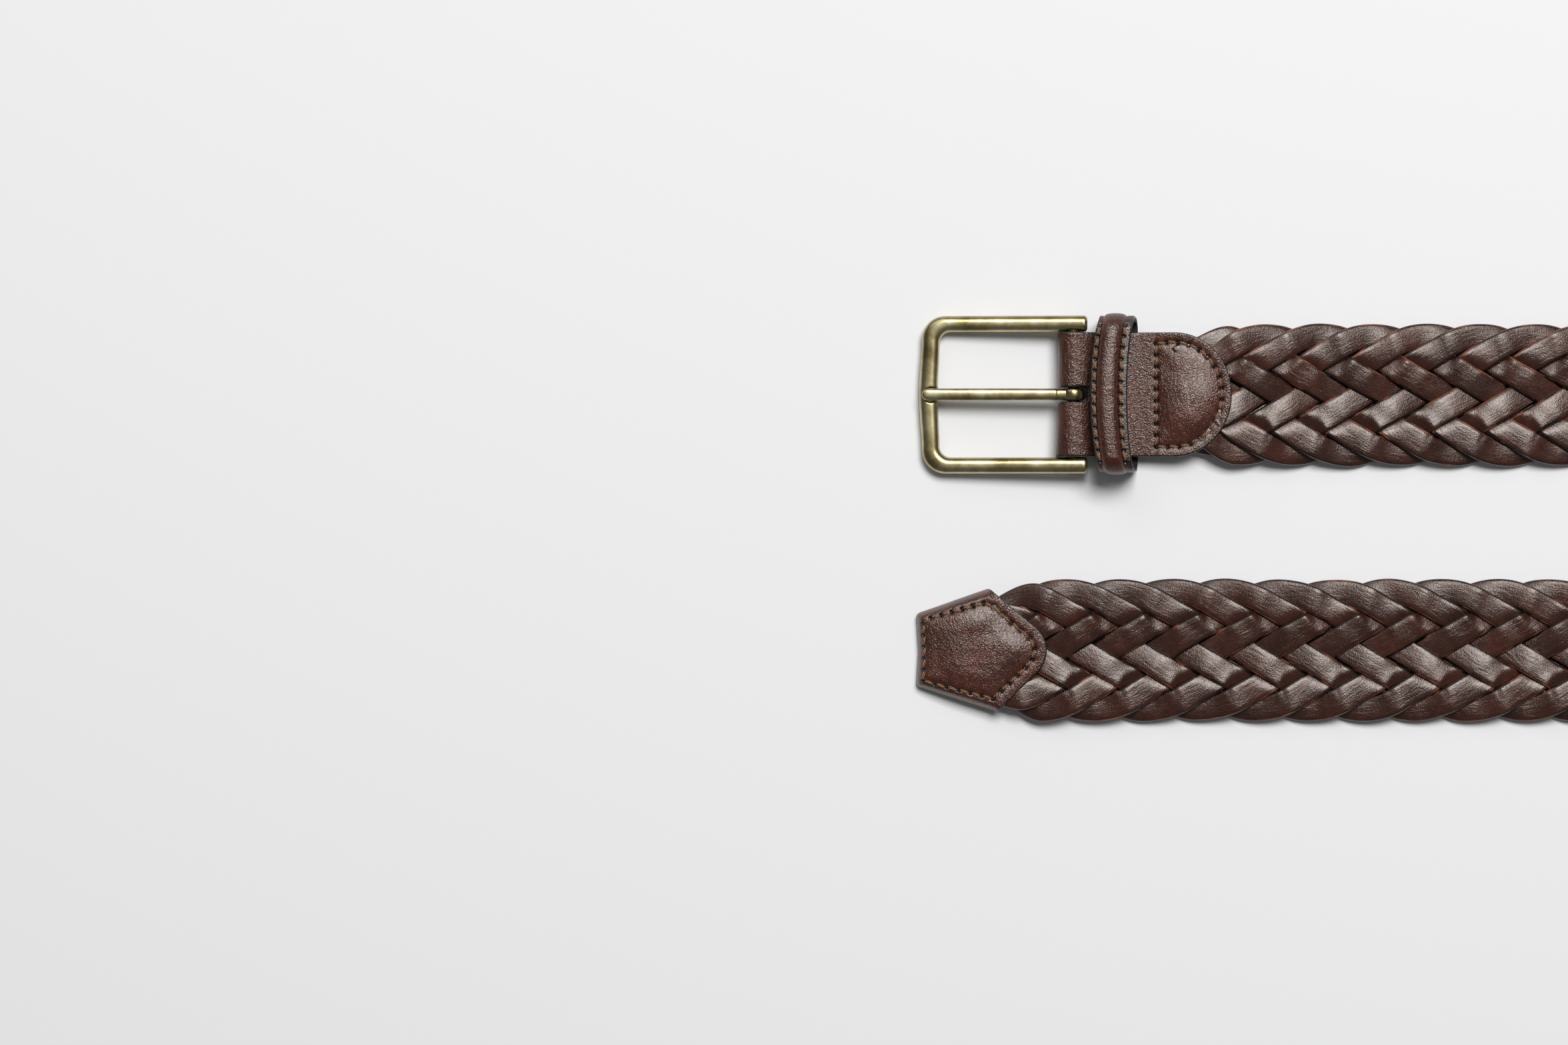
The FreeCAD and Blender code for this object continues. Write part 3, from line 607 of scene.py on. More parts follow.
def leather_piece(name, outline, slots, holes, place, skin, body, node_names, material,
                  thickness=1.4, spacing=0.62, rim=0.42, low_rim=0.3, edge_of=None, low_z=None,
                  coarse=None):
    """One cut piece of leather as a closed mesh. outline and slots are loops in the piece's own flat
    coordinates, place(p) gives the grain side's points and normals there, skin(p, d) raises the grain
    side (d is the distance from the cut edge), holes are awl holes with the seam they sit in."""
    loops = [resample(outline, 0.45)] + [resample(s, 0.3) for s in slots]
    edges, start = [], 0
    for loop in loops:
        n = len(loop)
        edges += [(start + i, start + (i + 1) % n) for i in range(n)]
        start += n
    rings = []
    for k, loop in enumerate(loops):
        inward = loop_normals(loop) * (1 if k == 0 else -1)
        for d in RIM_INSETS:
            ring = loop + inward * d
            far = loop_distance(ring, loop)
            rings.append(ring[far > 0.93 * d])
    rings = np.vstack(rings)
    spots = []
    for h in holes:
        spots.append(np.array([h]))
        for r, n in ((0.2, 7), (0.4, 9), (0.6, 11), (0.85, 13)):
            a = np.arange(n) / n * 2 * math.pi + r
            spots.append(h + r * np.stack([np.cos(a), np.sin(a)], 1))
    lo, hi = loops[0].min(0), loops[0].max(0)
    gx, gy = np.meshgrid(np.arange(lo[0], hi[0], spacing), np.arange(lo[1], hi[1], spacing * 0.866))
    gx = gx + (np.arange(gx.shape[0]) % 2)[:, None] * spacing / 2
    grid = np.stack([gx.ravel(), gy.ravel()], 1)
    odd = (np.arange(gx.shape[0]) % 2)[:, None] + (np.arange(gx.shape[1]) % 2)[None] > 0
    if coarse is not None:
        grid = grid[~(coarse(grid) & odd.ravel())]
    grid = grid[inside(grid, loops[0])]
    grid = grid[loop_distance(grid, loops[0]) > RIM_INSETS[-1] + 0.3]
    for loop in loops[1:]:
        grid = grid[~inside(grid, loop)]
        grid = grid[loop_distance(grid, loop) > RIM_INSETS[-1] + 0.3]
    seams = np.asarray(holes, float).reshape(-1, 2)

    def off_holes(points, room):
        if not len(seams) or not len(points):
            return points
        gap = np.min(np.linalg.norm(points[:, None] - seams[None], axis=2), axis=1)
        return points[gap > room]
    pts = np.vstack([np.vstack(loops), off_holes(rings, 0.95)] + [off_holes(grid, 1.0)] + spots)
    vs, _, fs, _, _, _ = delaunay_2d_cdt([Vector(p) for p in pts], edges, [], 0, 1e-5)
    flat_pts = np.array([tuple(v) for v in vs])
    tri = np.array([f for f in fs])
    mid = flat_pts[tri].mean(1)
    keep = inside(mid, loops[0])
    for loop in loops[1:]:
        keep &= ~inside(mid, loop)
    tri = tri[keep]
    # all triangles one way round
    e1 = flat_pts[tri[:, 1]] - flat_pts[tri[:, 0]]
    e2 = flat_pts[tri[:, 2]] - flat_pts[tri[:, 0]]
    back = e1[:, 0] * e2[:, 1] - e1[:, 1] * e2[:, 0] < 0
    tri[back] = tri[back][:, ::-1]
    used = np.unique(tri)
    remap = -np.ones(len(flat_pts), int)
    remap[used] = np.arange(len(used))
    p = flat_pts[used]
    tri = remap[tri]
    d = np.min([loop_distance(p, loop) for loop in loops], axis=0)
    rise = np.zeros(len(p))
    hole_shade = np.zeros(len(p))
    if len(seams):
        gap = np.min(np.linalg.norm(p[:, None] - seams[None], axis=2), axis=1)
        # painted shade in and round each awl hole
        hole_shade = np.clip(1 - gap / HOLE_DARK, 0, 1)
        rise -= HOLE_DEPTH * np.exp(-(gap / 0.42) ** 2)
        rise -= 0.16 * np.exp(-(gap / 0.95) ** 2)
    base, normal = place(p)
    round_top = round_edge(d, rim)
    round_low = round_edge(d, low_rim)
    shape = skin(p, d)
    top = base + normal * (shape + rise - round_top)[:, None]
    low = base + normal * (shape - thickness + round_low)[:, None]
    if low_z is not None:
        low[:, 2] = np.maximum(low[:, 2], low_z)
        top[:, 2] = np.maximum(top[:, 2], low_z + 0.03)
    edge = d if edge_of is None else edge_of(p, d)
    n = len(p)
    faces = [tuple(t) for t in tri] + [tuple((t + n)[::-1]) for t in tri]
    sides = {}
    for t in tri:
        for a, b in ((t[0], t[1]), (t[1], t[2]), (t[2], t[0])):
            sides[(a, b)] = True
    for a, b in sides:
        if (b, a) not in sides:
            faces.append((b, a, a + n, b + n))
    verts = np.vstack([top, low])
    uv = np.vstack([p, p + [0.0, 60.0]]) / 100.0
    attrs = {
        "edge": np.concatenate([edge, edge]),
        "hole_shade": np.concatenate([hole_shade, hole_shade * 0]),
        "under": np.concatenate([np.zeros(n), np.ones(n)]),
    }
    obj = mesh_object(name, verts, faces, uv, attrs)
    obj.data.materials.append(material)
    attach(obj, body)
    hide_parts(*node_names)
    return obj


def walk(path, pitch, closed=True):
    """Stitch holes at an even pitch along a seam line."""
    p = np.asarray(path, float)
    if closed:
        p = np.vstack([p, p[:1]])
    run = cumulative(np.linalg.norm(np.diff(p, axis=0), axis=1))
    count = int(round(run[-1] / pitch))
    at = np.arange(count + (0 if closed else 1)) * run[-1] / count
    return np.stack([np.interp(at, run, p[:, 0]), np.interp(at, run, p[:, 1])], 1)


def sew(name, holes, place, lift, node_names, body, closed=True, seed=0):
    """A row of twisted thread stitches that dip into their holes."""
    rng = np.random.default_rng(900 + seed)
    pairs = list(zip(holes, np.roll(holes, -1, 0)))
    if not closed:
        pairs = pairs[:-1]
    verts, faces, uv = [], [], []
    steps, around = ((15, 10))
    start = 0
    for k, (a, b) in enumerate(pairs):
        t = np.linspace(0, 1, steps)
        d = (b - a) / np.linalg.norm(b - a)
        cross = np.array([-d[1], d[0]])
        slant = (0.16 + 0.08 * rng.random()) * (1 - 2 * t)
        bow = 0.08 * (rng.random() - 0.5) * np.sin(math.pi * t)
        line = a + (b - a) * (0.16 + 0.68 * t)[:, None] + cross * (slant + bow)[:, None]
        base, normal = place(line)
        arch = np.clip(np.sin(math.pi * np.clip(t, 0.0, 1.0)), 0, 1) ** 0.55
        fat = 0.31 + 0.03 * rng.random()
        level = lift(line) + 0.26 * arch - 0.62 * (1 - arch)
        c = base + normal * level[:, None]
        tan = np.gradient(c, axis=0)
        tan /= np.linalg.norm(tan, axis=1)[:, None]
        side = np.cross(normal, tan)
        side /= np.linalg.norm(side, axis=1)[:, None]
        up = np.cross(tan, side)
        phi = np.arange(around) / around * 2 * math.pi
        twist_at = t[:, None] * 5.0 + k * 1.3
        r = fat * (0.72 + 0.28 * arch)[:, None] * (1 + 0.13 * np.cos(3 * (phi[None] + twist_at)))
        ring = c[:, None] + side[:, None] * (r * np.cos(phi))[..., None] * 1.08
        ring = ring + up[:, None] * (r * np.sin(phi))[..., None] * 0.82
        verts.append(ring.reshape(-1, 3))
        faces += tube_faces(steps, around, start)
        uv.append(ring_uv((k + t) * 0.03, phi).reshape(-1, 2))
        start += steps * around
    obj = mesh_object(name, np.vstack(verts), faces, np.vstack(uv))
    obj.data.materials.append(MAT_THREAD)
    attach(obj, body)
    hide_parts(*node_names)
    return obj


# ------------------------------------------------------------------ buckle tab
TAB_HALF = 17.5
TAB_STRAIGHT, TAB_REACH = 28.5, 44.6
SEAM_X, SEAM_INSET, STITCH = 23.4, 2.8, 3.22
FOLD_R = 3.7
TAB_THICK = 1.45
SLOT_HALF, SLOT_X = 2.1, 4.3
FRONT = [(0, 9.25), (1.5, 9.12), (3, 8.75), (5, 8.05), (8, 7.0), (11, 6.3), (14, 5.75), (17.5, 5.4),
         (21, 5.55), (24, 5.95), (27, 6.35), (31, 6.85), (36, 7.05), (60, 7.1)]
BACK = [(0, 1.85), (22.4, 1.85), (25.6, 1.2), (29, 0.06), (60, 0.06)]


def rounded_profile(table, reach, step=0.4, passes=10):
    """A smooth side view through a few heights, as dense x and z."""
    x = np.arange(0, reach, step)
    z = lerp_table(x, table)
    for _ in range(passes):
        z[1:-1] = 0.25 * z[:-2] + 0.5 * z[1:-1] + 0.25 * z[2:]
    return x, z


def tab_profile():
    """The buckle tab's outer side in side view: back leather, fold round the bar, front leather."""
    bx, bz = rounded_profile(BACK, 46.0)
    fx, fz = rounded_profile(FRONT, 46.0)
    a = np.linspace(-math.pi / 2, -3 * math.pi / 2, 40)[1:-1]
    ax, az = FOLD_R * 1.17 * np.cos(a), BAR_Z + FOLD_R * np.sin(a)
    x = np.concatenate([bx[::-1], ax, fx])
    z = np.concatenate([bz[::-1], az, fz])
    s = cumulative(np.hypot(np.diff(x), np.diff(z)))
    return s - s[len(bx) + len(ax)], x, z, len(bx)


TAB_S, TAB_X, TAB_Z, N_BACK = tab_profile()


def tab_point(s):
    x = np.interp(s, TAB_S, TAB_X)
    z = np.interp(s, TAB_S, TAB_Z)
    dx = np.interp(s + 0.25, TAB_S, TAB_X) - np.interp(s - 0.25, TAB_S, TAB_X)
    dz = np.interp(s + 0.25, TAB_S, TAB_Z) - np.interp(s - 0.25, TAB_S, TAB_Z)
    size = np.hypot(dx, dz)
    return x, z, -dz / size, dx / size


def tab_place(p):
    s, y = p[:, 0], p[:, 1]
    x, z, nx, nz = tab_point(s)
    # the fold draws in a little between its two ends, and more at the far side
    fold = np.exp(-((s + 5.8) / 5.0) ** 2)
    x = x + fold * (0.2 * (1 - (y / TAB_HALF) ** 2) - 0.65 * np.clip(-y / TAB_HALF, 0, 1))
    pts = np.stack([BAR_X + x, BAR_Y + y, z], 1)
    return pts, np.stack([nx, 0 * nx, nz], 1)


def s_at_x(x):
    """Strip coordinate of a place on the front leather."""
    front = TAB_S >= -1e-6
    return np.interp(x, TAB_X[front], TAB_S[front])


def s_at_back(x):
    """Strip coordinate of a place on the back leather."""
    return np.interp(x, TAB_X[:N_BACK][::-1], TAB_S[:N_BACK][::-1])


def tab_outline():
    half = TAB_HALF
    a = np.linspace(-math.pi / 2, math.pi / 2, 41)
    front = [(float(s_at_x(TAB_STRAIGHT + (TAB_REACH - TAB_STRAIGHT) * math.cos(t))), half * math.sin(t))
             for t in a]
    back = []
    for t in a[::-1]:
        x = TAB_STRAIGHT + (TAB_REACH - 0.4 - TAB_STRAIGHT) * math.cos(t)
        back.append((float(s_at_back(x)), half * math.sin(t)))
    return np.array(front + back)


def slot_outline():
    """Slot for the prong, through the fold and its two ends."""
    front, back = float(s_at_x(SLOT_X - 1.3)), float(s_at_back(SLOT_X - 1.3))
    a = np.linspace(-math.pi / 2, math.pi / 2, 21)
    c = 1.3 * np.abs(np.cos(a)) ** 0.5
    y = SLOT_HALF * np.sign(np.sin(a)) * np.abs(np.sin(a)) ** 0.5
    return np.array(list(zip(front + c, y)) + list(zip(back - c[::-1], y[::-1])))


def tab_seam():
    half = TAB_HALF - SEAM_INSET
    x = [(SEAM_X, -half), (SEAM_X, half), (TAB_STRAIGHT, half)]
    for t in np.linspace(math.pi / 2, -math.pi / 2, 40)[1:-1]:
        x.append((TAB_STRAIGHT + (TAB_REACH - TAB_STRAIGHT - SEAM_INSET) * math.cos(t), half * math.sin(t)))
    x.append((TAB_STRAIGHT, -half))
    return walk([(float(s_at_x(a)), b) for a, b in x], STITCH)


TAB_HOLES = tab_seam()


def seam_depth(p, holes):
    """How far inside the seam's loop each point lies, negative outside it."""
    d = loop_distance(p, holes)
    return np.where(inside(p, holes), d, -d)


def telegraph(p, x0, y0, sign):
    """The braid under the leather shows through as very low mounds."""
    q = (p[:, 0] + x0) / PERIOD * 2 * math.pi * 4.5
    r = (p[:, 1] + y0) / 9.0 * 2 * math.pi
    return sign * 0.09 * np.sin(q + 0.5 * r) * np.cos(r * 0.5)


def tab_skin(p, d):
    depth = seam_depth(p, TAB_HOLES)
    out = np.full(len(p), 0.0)
    in_d = p[:, 0] > s_at_x(SEAM_X)
    out += np.where(in_d, 0.5 * smooth(depth / 7.5) - 0.25 * np.exp(-(depth / 0.9) ** 2), 0.0)
    straight = np.abs(p[:, 0] - s_at_x(SEAM_X))
    out += np.where(in_d, 0.0, -0.25 * np.exp(-(straight / 0.9) ** 2))
    out += np.where(in_d, telegraph(p, 0, 0, 1.0) * smooth(depth / 3.0), 0.0)
    s, y = p[:, 0], p[:, 1]
    # the plait pushes the leather up in one broad crown inside the seam
    crown = np.exp(-(((s - s_at_x(33.0)) / 9.0) ** 2 + ((y + 4.0) / 8.0) ** 2))
    out += np.where(in_d, 0.75 * crown * smooth(depth / 4.0), 0.0)
    # soft creases across the strip beside the fold
    near = np.exp(-((s - 1.0) / 5.0) ** 2) * (d > 0.3)
    out += near * 0.035 * wave(y + 0.4 * s, 31, 2.6)
    out += 0.03 * wave(s + 0.3 * y, 33, 7.0)
    return out


# ------------------------------------------------------------------ tip tab
TIP_Y = -RUN_SPACING / 2
END_HALF, WIDE_HALF, WIDE_AT, TIP_LEN, NOSE_R = 10.25, 17.4, 21.5, 36.6, 8.5
TIP_LEVEL = 6.6
TIP_THICK = 1.3


def corner(prev, at, nxt, r, n=7):
    """Points of a rounded corner."""
    prev, at, nxt = (np.asarray(q, float) for q in (prev, at, nxt))
    a = (prev - at) / np.linalg.norm(prev - at)
    b = (nxt - at) / np.linalg.norm(nxt - at)
    half = math.acos(float(np.clip(a @ b, -1, 1))) / 2
    cut = r / math.tan(half)
    c = at + (a + b) / np.linalg.norm(a + b) * r / math.sin(half)
    p0, p1 = at + a * cut, at + b * cut
    out = []
    for t in np.linspace(0, 1, n):
        v = (p0 - c) * (1 - t) + (p1 - c) * t
        out.append(c + v / np.linalg.norm(v) * r)
    return out


def tip_nose(inset):
    """From the lower wide corner round the nose to the upper one, all moved in by inset."""
    nose_x = TIP_LEN - NOSE_R
    slant = math.atan2(WIDE_HALF, nose_x - WIDE_AT)
    slant -= math.asin(NOSE_R / math.hypot(nose_x - WIDE_AT, WIDE_HALF))
    side = math.atan2(WIDE_HALF - END_HALF, WIDE_AT)
    reach = inset / math.cos((slant + side) / 2)
    middle = (side - slant) / 2
    cx, cy = WIDE_AT + reach * math.sin(middle), WIDE_HALF - reach * math.cos(middle)
    t = (math.pi / 2 - slant) * np.linspace(-1, 1, 31)
    r = NOSE_R - inset
    arc = [(nose_x + r * math.cos(v), r * math.sin(v)) for v in t]
    return [(cx, -cy)] + arc + [(cx, cy)]


def tip_outline():
    end = np.array([0.0, END_HALF])
    nose = tip_nose(0.0)
    pts = corner((0.45, 0), end * [1, -1], nose[0], 1.5)
    pts += corner(end * [1, -1], nose[0], nose[1], 0.9)
    pts += [np.array(q) for q in nose[1:-1]]
    pts += corner(nose[-2], nose[-1], end, 0.9)
    pts += corner(nose[-1], end, (0.45, 0), 1.5)
    # the very end is slightly hollow between its corners
    pts.append(np.array([0.6, 0.0]))
    return np.array(pts)


def tip_seam():
    x0 = 1.95
    y0 = END_HALF - 1.6
    nose = tip_nose(3.4)
    path = [(x0, -y0)] + nose + [(x0, y0), (x0 + 0.3, 0)]
    return walk(path, STITCH)


TIP_HOLES = tip_seam()


def tip_cut_side(p):
    """1 where the nearest edge is the rounded free end, 0 at the rolled edges."""
    return smooth((p[:, 0] - WIDE_AT + 0.9) / 1.8)


def tip_place(p):
    x, y = p[:, 0], p[:, 1]
    # cut a little askew: its upper corner sits nearer the end than the lower one
    x = x - 0.055 * y * smooth(x / 18.0) * (1 - smooth((x - 26.0) / 10.0))
    pts = np.stack([TIP_X + x, TIP_Y + y, np.full(len(x), TIP_LEVEL)], 1)
    return pts, np.tile([0.0, 0.0, 1.0], (len(x), 1))


TIP_EDGE = tip_outline()


def tip_skin(p, d):
    """Height over the tip's level: rolled down at the end and both sides, domed over the braid."""
    x, y = p[:, 0], p[:, 1]
    depth = seam_depth(p, TIP_HOLES)
    free = tip_cut_side(p)
    rolled = -3.4 * (1 - np.clip(d / 2.3, 0, 1)) ** 2.4 - 0.5 * (1 - smooth(d / 4.5))
    level = -1.25 * (1 - smooth(x / 13.0)) + 0.15
    cut = -0.12 * (1 - smooth(d / 2.0))
    out = level + rolled * (1 - free) + cut * free
    out += 0.75 * smooth(depth / 6.0) * smooth(x / 15.0) - 0.22 * np.exp(-(depth / 0.9) ** 2)
    # two soft mounds where the plait lies under the leather
    out += 0.28 * np.exp(-(((x - 15) / 5.0) ** 2 + ((y - 9.0) / 3.2) ** 2))
    out += 0.30 * np.exp(-(((x - 25) / 5.5) ** 2 + ((y + 0.5) / 5.5) ** 2))
    out += -0.16 * np.exp(-(((x - 21) / 3.0) ** 2 + ((y - 6.0) / 2.5) ** 2))
    out += 0.03 * wave(x + 0.3 * y, 43, 6.0) + 0.03 * wave(y, 44, 7.0)
    return out


# ------------------------------------------------------------------ keeper
KEEP_X0, KEEP_X1 = 4.42, 14.5
KEEP_HALF, KEEP_LOW, KEEP_HIGH = 21.95, 0.05, 14.2
KEEP_BACK0, KEEP_BACK1 = 8.4, 18.6
KEEP_CORNER = 4.2
ARCH_RISE, ARCH_AT = 1.0, 4.0
RIB_HEIGHT = 1.65
RIB_FROM, RIB_TO = 0.145, 0.755
ROW_LEFT, ROW_RIGHT = 0.085, 0.815
BAND = 10.1
ROW_PLACES = (np.arange(13) - 6.0) * 3.2


def keeper_path(half, low, high, r, step_front, step_rest):
    """Closed loop in side view, from the middle of its front band, as y and z with normals."""
    def arc(cy, cz, a0, a1):
        n = max(5, int(abs(a1 - a0) * r / step_front))
        a = np.linspace(a0, a1, n, endpoint=False)
        return [(cy + r * math.cos(t), cz + r * math.sin(t), math.cos(t), math.sin(t)) for t in a]

    def line(p, q, step, ny, nz):
        n = max(2, int(math.hypot(q[0] - p[0], q[1] - p[1]) / step))
        return [(p[0] + (q[0] - p[0]) * i / n, p[1] + (q[1] - p[1]) * i / n, ny, nz) for i in range(n)]
    y, q = half, math.pi / 2
    out = line((y - r, high), (-(y - r), high), step_front, 0, 1)
    out += arc(-(y - r), high - r, q, 2 * q)
    out += line((-y, high - r), (-y, low + r), step_rest, -1, 0)
    out += arc(-(y - r), low + r, 2 * q, 3 * q)
    out += line((-(y - r), low), (y - r, low), step_rest, 0, -1)
    out += arc(y - r, low + r, 3 * q, 4 * q)
    out += line((y, low + r), (y, high - r), step_rest, 1, 0)
    out += arc(y - r, high - r, 0.0, q)
    out = np.array(out)
    out[:, 1] += keeper_arch(out[:, 0], out[:, 1])
    return out


def keeper_arch(y, z):
    """The front band's gentle arch across the belt, highest a little below the middle."""
    return ARCH_RISE * (1 - ((y + ARCH_AT) / KEEP_HALF) ** 2) * smooth((z - 6.0) / 8.0)


def keeper_span(y, z):
    """Left and right edge of the band at a place on the loop."""
    front = np.clip((z - KEEP_LOW) / (KEEP_HIGH - KEEP_LOW), 0, 1)
    bow = (np.abs(y) / KEEP_HALF) ** 2.2
    left = KEEP_X0 + 2.3 * bow * front + (KEEP_BACK0 - KEEP_X0) * (1 - front)
    right = KEEP_X1 + 1.9 * bow * front + (KEEP_BACK1 - KEEP_X1) * (1 - front)
    return left, right


def keeper_cover():
    path = keeper_path(KEEP_HALF, KEEP_LOW, KEEP_HIGH, KEEP_CORNER, 0.3, 0.9)
    y, z, ny, nz = path.T
    left, right = keeper_span(y, z)
    # a little slack in the loop
    slack = 0.18 * wave(y * 0.9 + z, 51, 30.0)
    f = np.concatenate([[0, 0.004, 0.012, 0.028, 0.045], np.linspace(0.065, 0.935, 38),
                        [0.955, 0.972, 0.988, 0.996, 1.0]])
    side_d = np.minimum(f, 1 - f) * BAND
    t = (f - 0.5 * (RIB_FROM + RIB_TO)) / (0.5 * (RIB_TO - RIB_FROM))
    rib = np.clip(1 - np.abs(t) ** 2.6, 0, 1) ** 0.62
    front = smooth((z - 4.0) / 5.0)
    side = np.clip(np.abs(ny), 0, 1)
    rib_scale = RIB_HEIGHT * front * (1 - 0.58 * side)
    edge_drop = round_edge(side_d, 0.4)
    h = rib[None] * rib_scale[:, None] - edge_drop[None]
    # valleys beside the rib
    h = h - 0.14 * front[:, None] * np.exp(-((np.abs(t)[None] - 1.06) / 0.09) ** 2)
    hole_shade = np.zeros((len(y), len(f)))
    run = cumulative(np.hypot(np.diff(y), np.diff(z)))
    length = run[-1] + math.hypot(y[0] - y[-1], z[0] - z[-1])
    q = KEEP_HALF - KEEP_CORNER - run
    q = np.where(q < -length / 2, q + length, q)
    for row in (ROW_LEFT, ROW_RIGHT):
        for at in ROW_PLACES:
            gap = np.hypot(q[:, None] - at, (f[None] - row) * BAND)
            h = h - 0.65 * np.exp(-(gap / 0.4) ** 2)
            # painted shade in and round each stitch hole
            hole_shade = np.maximum(hole_shade, np.clip(1 - gap / HOLE_DARK, 0, 1))
    wr = 0.03 * np.stack([wave(y + 3 * k, 60 + k, 3.2) for k in range(3)], 0).mean(0)
    h = h + wr[:, None] * rib[None] + slack[:, None] * 0.5
    x = left[:, None] + (right - left)[:, None] * f[None]
    top = np.stack([BAR_X + x, BAR_Y + y[:, None] + ny[:, None] * h, z[:, None] + nz[:, None] * h], -1)
    # the cover's inner side
    inner = -0.85 * np.ones_like(f) + edge_drop * 0.5
    low = np.stack([BAR_X + x, BAR_Y + y[:, None] + ny[:, None] * inner[None],
                    z[:, None] + nz[:, None] * inner[None]], -1)
    rings, cols = len(y), len(f)
    ring = np.concatenate([top, low[:, ::-1]], axis=1)
    verts = ring.reshape(-1, 3)
    faces = tube_faces(rings, 2 * cols, closed=True)
    uv_top = np.stack([np.repeat(run[:, None], cols, 1), np.repeat(f[None] * BAND, rings, 0)], -1)
    uv_low = uv_top[:, ::-1] + [0, 30.0]
    uv = np.concatenate([uv_top, uv_low], 1).reshape(-1, 2) / 100.0
    # the right side's painted edge is broad, the left one's narrow
    painted = np.where(f > 0.5, side_d * 0.42, side_d + 0.1)
    edge = np.repeat(np.concatenate([painted, side_d[::-1] * 0.3])[None], rings, 0).ravel()
    under = np.repeat(np.concatenate([np.zeros(cols), np.ones(cols)])[None], rings, 0).ravel()
    hole_shade = np.concatenate([hole_shade, np.zeros_like(hole_shade)], 1).ravel()
    obj = mesh_object("keeper_leather", verts, faces, uv, {"edge": edge, "hole_shade": hole_shade, "under": under})
    obj.data.materials.append(MAT_KEEPER)
    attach(obj, "keeper")
    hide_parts("keeper_cover", "keeper_core")
    return obj


def keeper_lining():
    path = keeper_path(KEEP_HALF - 0.75, KEEP_LOW + 0.75, KEEP_HIGH - 0.75, KEEP_CORNER - 0.75, 0.6, 1.0)
    y, z, ny, nz = path.T
    left, right = keeper_span(y, z)
    f = np.array([0.0, 0.02, 0.06, 0.15, 0.3, 0.5, 0.7, 0.85, 0.94, 0.98, 1.0])
    drop = round_edge(np.minimum(f, 1 - f) * 11, 0.3, 0.25)
    x = left[:, None] - 0.12 + (right - left + 0.24)[:, None] * f[None]
    out = -drop
    inn = -0.85 + drop

    def shell(h):
        return np.stack([BAR_X + x, BAR_Y + y[:, None] + ny[:, None] * h[None],
                         z[:, None] + nz[:, None] * h[None]], -1)
    ring = np.concatenate([shell(out), shell(inn)[:, ::-1]], axis=1)
    rings, cols = len(y), len(f)
    faces = tube_faces(rings, 2 * cols, closed=True)
    run = cumulative(np.hypot(np.diff(y), np.diff(z)))
    uv = np.stack([np.repeat(run[:, None], 2 * cols, 1),
                   np.repeat(np.concatenate([f, 2 + f[::-1]])[None] * 11, rings, 0)], -1)
    obj = mesh_object("keeper_inner", ring.reshape(-1, 3), faces, uv.reshape(-1, 2) / 100.0)
    obj.data.materials.append(MAT_LINING)
    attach(obj, "keeper")
    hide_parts("keeper_lining")
    return obj


def keeper_row_place(p):
    """p holds the place along the loop from the front band's middle, and across the band."""
    flat = KEEP_HALF - KEEP_CORNER
    a = np.clip((np.abs(p[:, 0]) - flat) / KEEP_CORNER, 0, 1.5)
    sign = np.sign(p[:, 0])
    y = np.where(a > 0, sign * (flat + KEEP_CORNER * np.sin(a)), p[:, 0])
    z = KEEP_HIGH - KEEP_CORNER * (1 - np.cos(a))
    z = z + keeper_arch(y, z)
    left, right = keeper_span(y, z)
    x = left + (right - left) * p[:, 1] / BAND
    pts = np.stack([BAR_X + x, BAR_Y + y, z], 1)
    return pts, np.stack([0 * y, sign * np.sin(a), np.cos(a)], 1)


# ------------------------------------------------------------------ buckle
TILT = math.asin((BAR_Z - 0.05 - 2.3) / (43.3 - 5.3 / 2))


def buckle_place(p):
    """From the buckle's own frame (bar at the origin) to the belt's, tilted onto the table."""
    p = np.asarray(p, float)
    x = p[..., 0] * math.cos(TILT) - p[..., 2] * math.sin(TILT)
    z = p[..., 0] * math.sin(TILT) + p[..., 2] * math.cos(TILT)
    return np.stack([BAR_X + x, BAR_Y + p[..., 1], BAR_Z + z], -1)


FRAME_LEFT, FRAME_RIGHT, FRAME_HALF = 43.3, 4.05, 22.25
ARM_W, CROSS_W, FRAME_T = 4.6, 5.3, 4.6
OUT_CORNER, IN_CORNER, BOW = 6.6, 3.2, 0.8


def frame_edge(half, left, corner_r, bow, right):
    """One edge line of the U in plan, from the upper arm's end to the lower arm's end."""
    pts = [(right, half), (-(left - corner_r), half)]
    a = np.linspace(math.pi / 2, math.pi, 15)[1:]
    pts += [(-(left - corner_r) + corner_r * math.cos(t), half - corner_r + corner_r * math.sin(t))
            for t in a]
    y = np.linspace(half - corner_r, 0, 12)[1:]
    k = half - corner_r
    pts += [(-left - bow * (1 - (v / k) ** 2) ** 2, v) for v in y]
    pts += [(px, -py) for px, py in pts[:-1][::-1]]
    return np.array(pts)


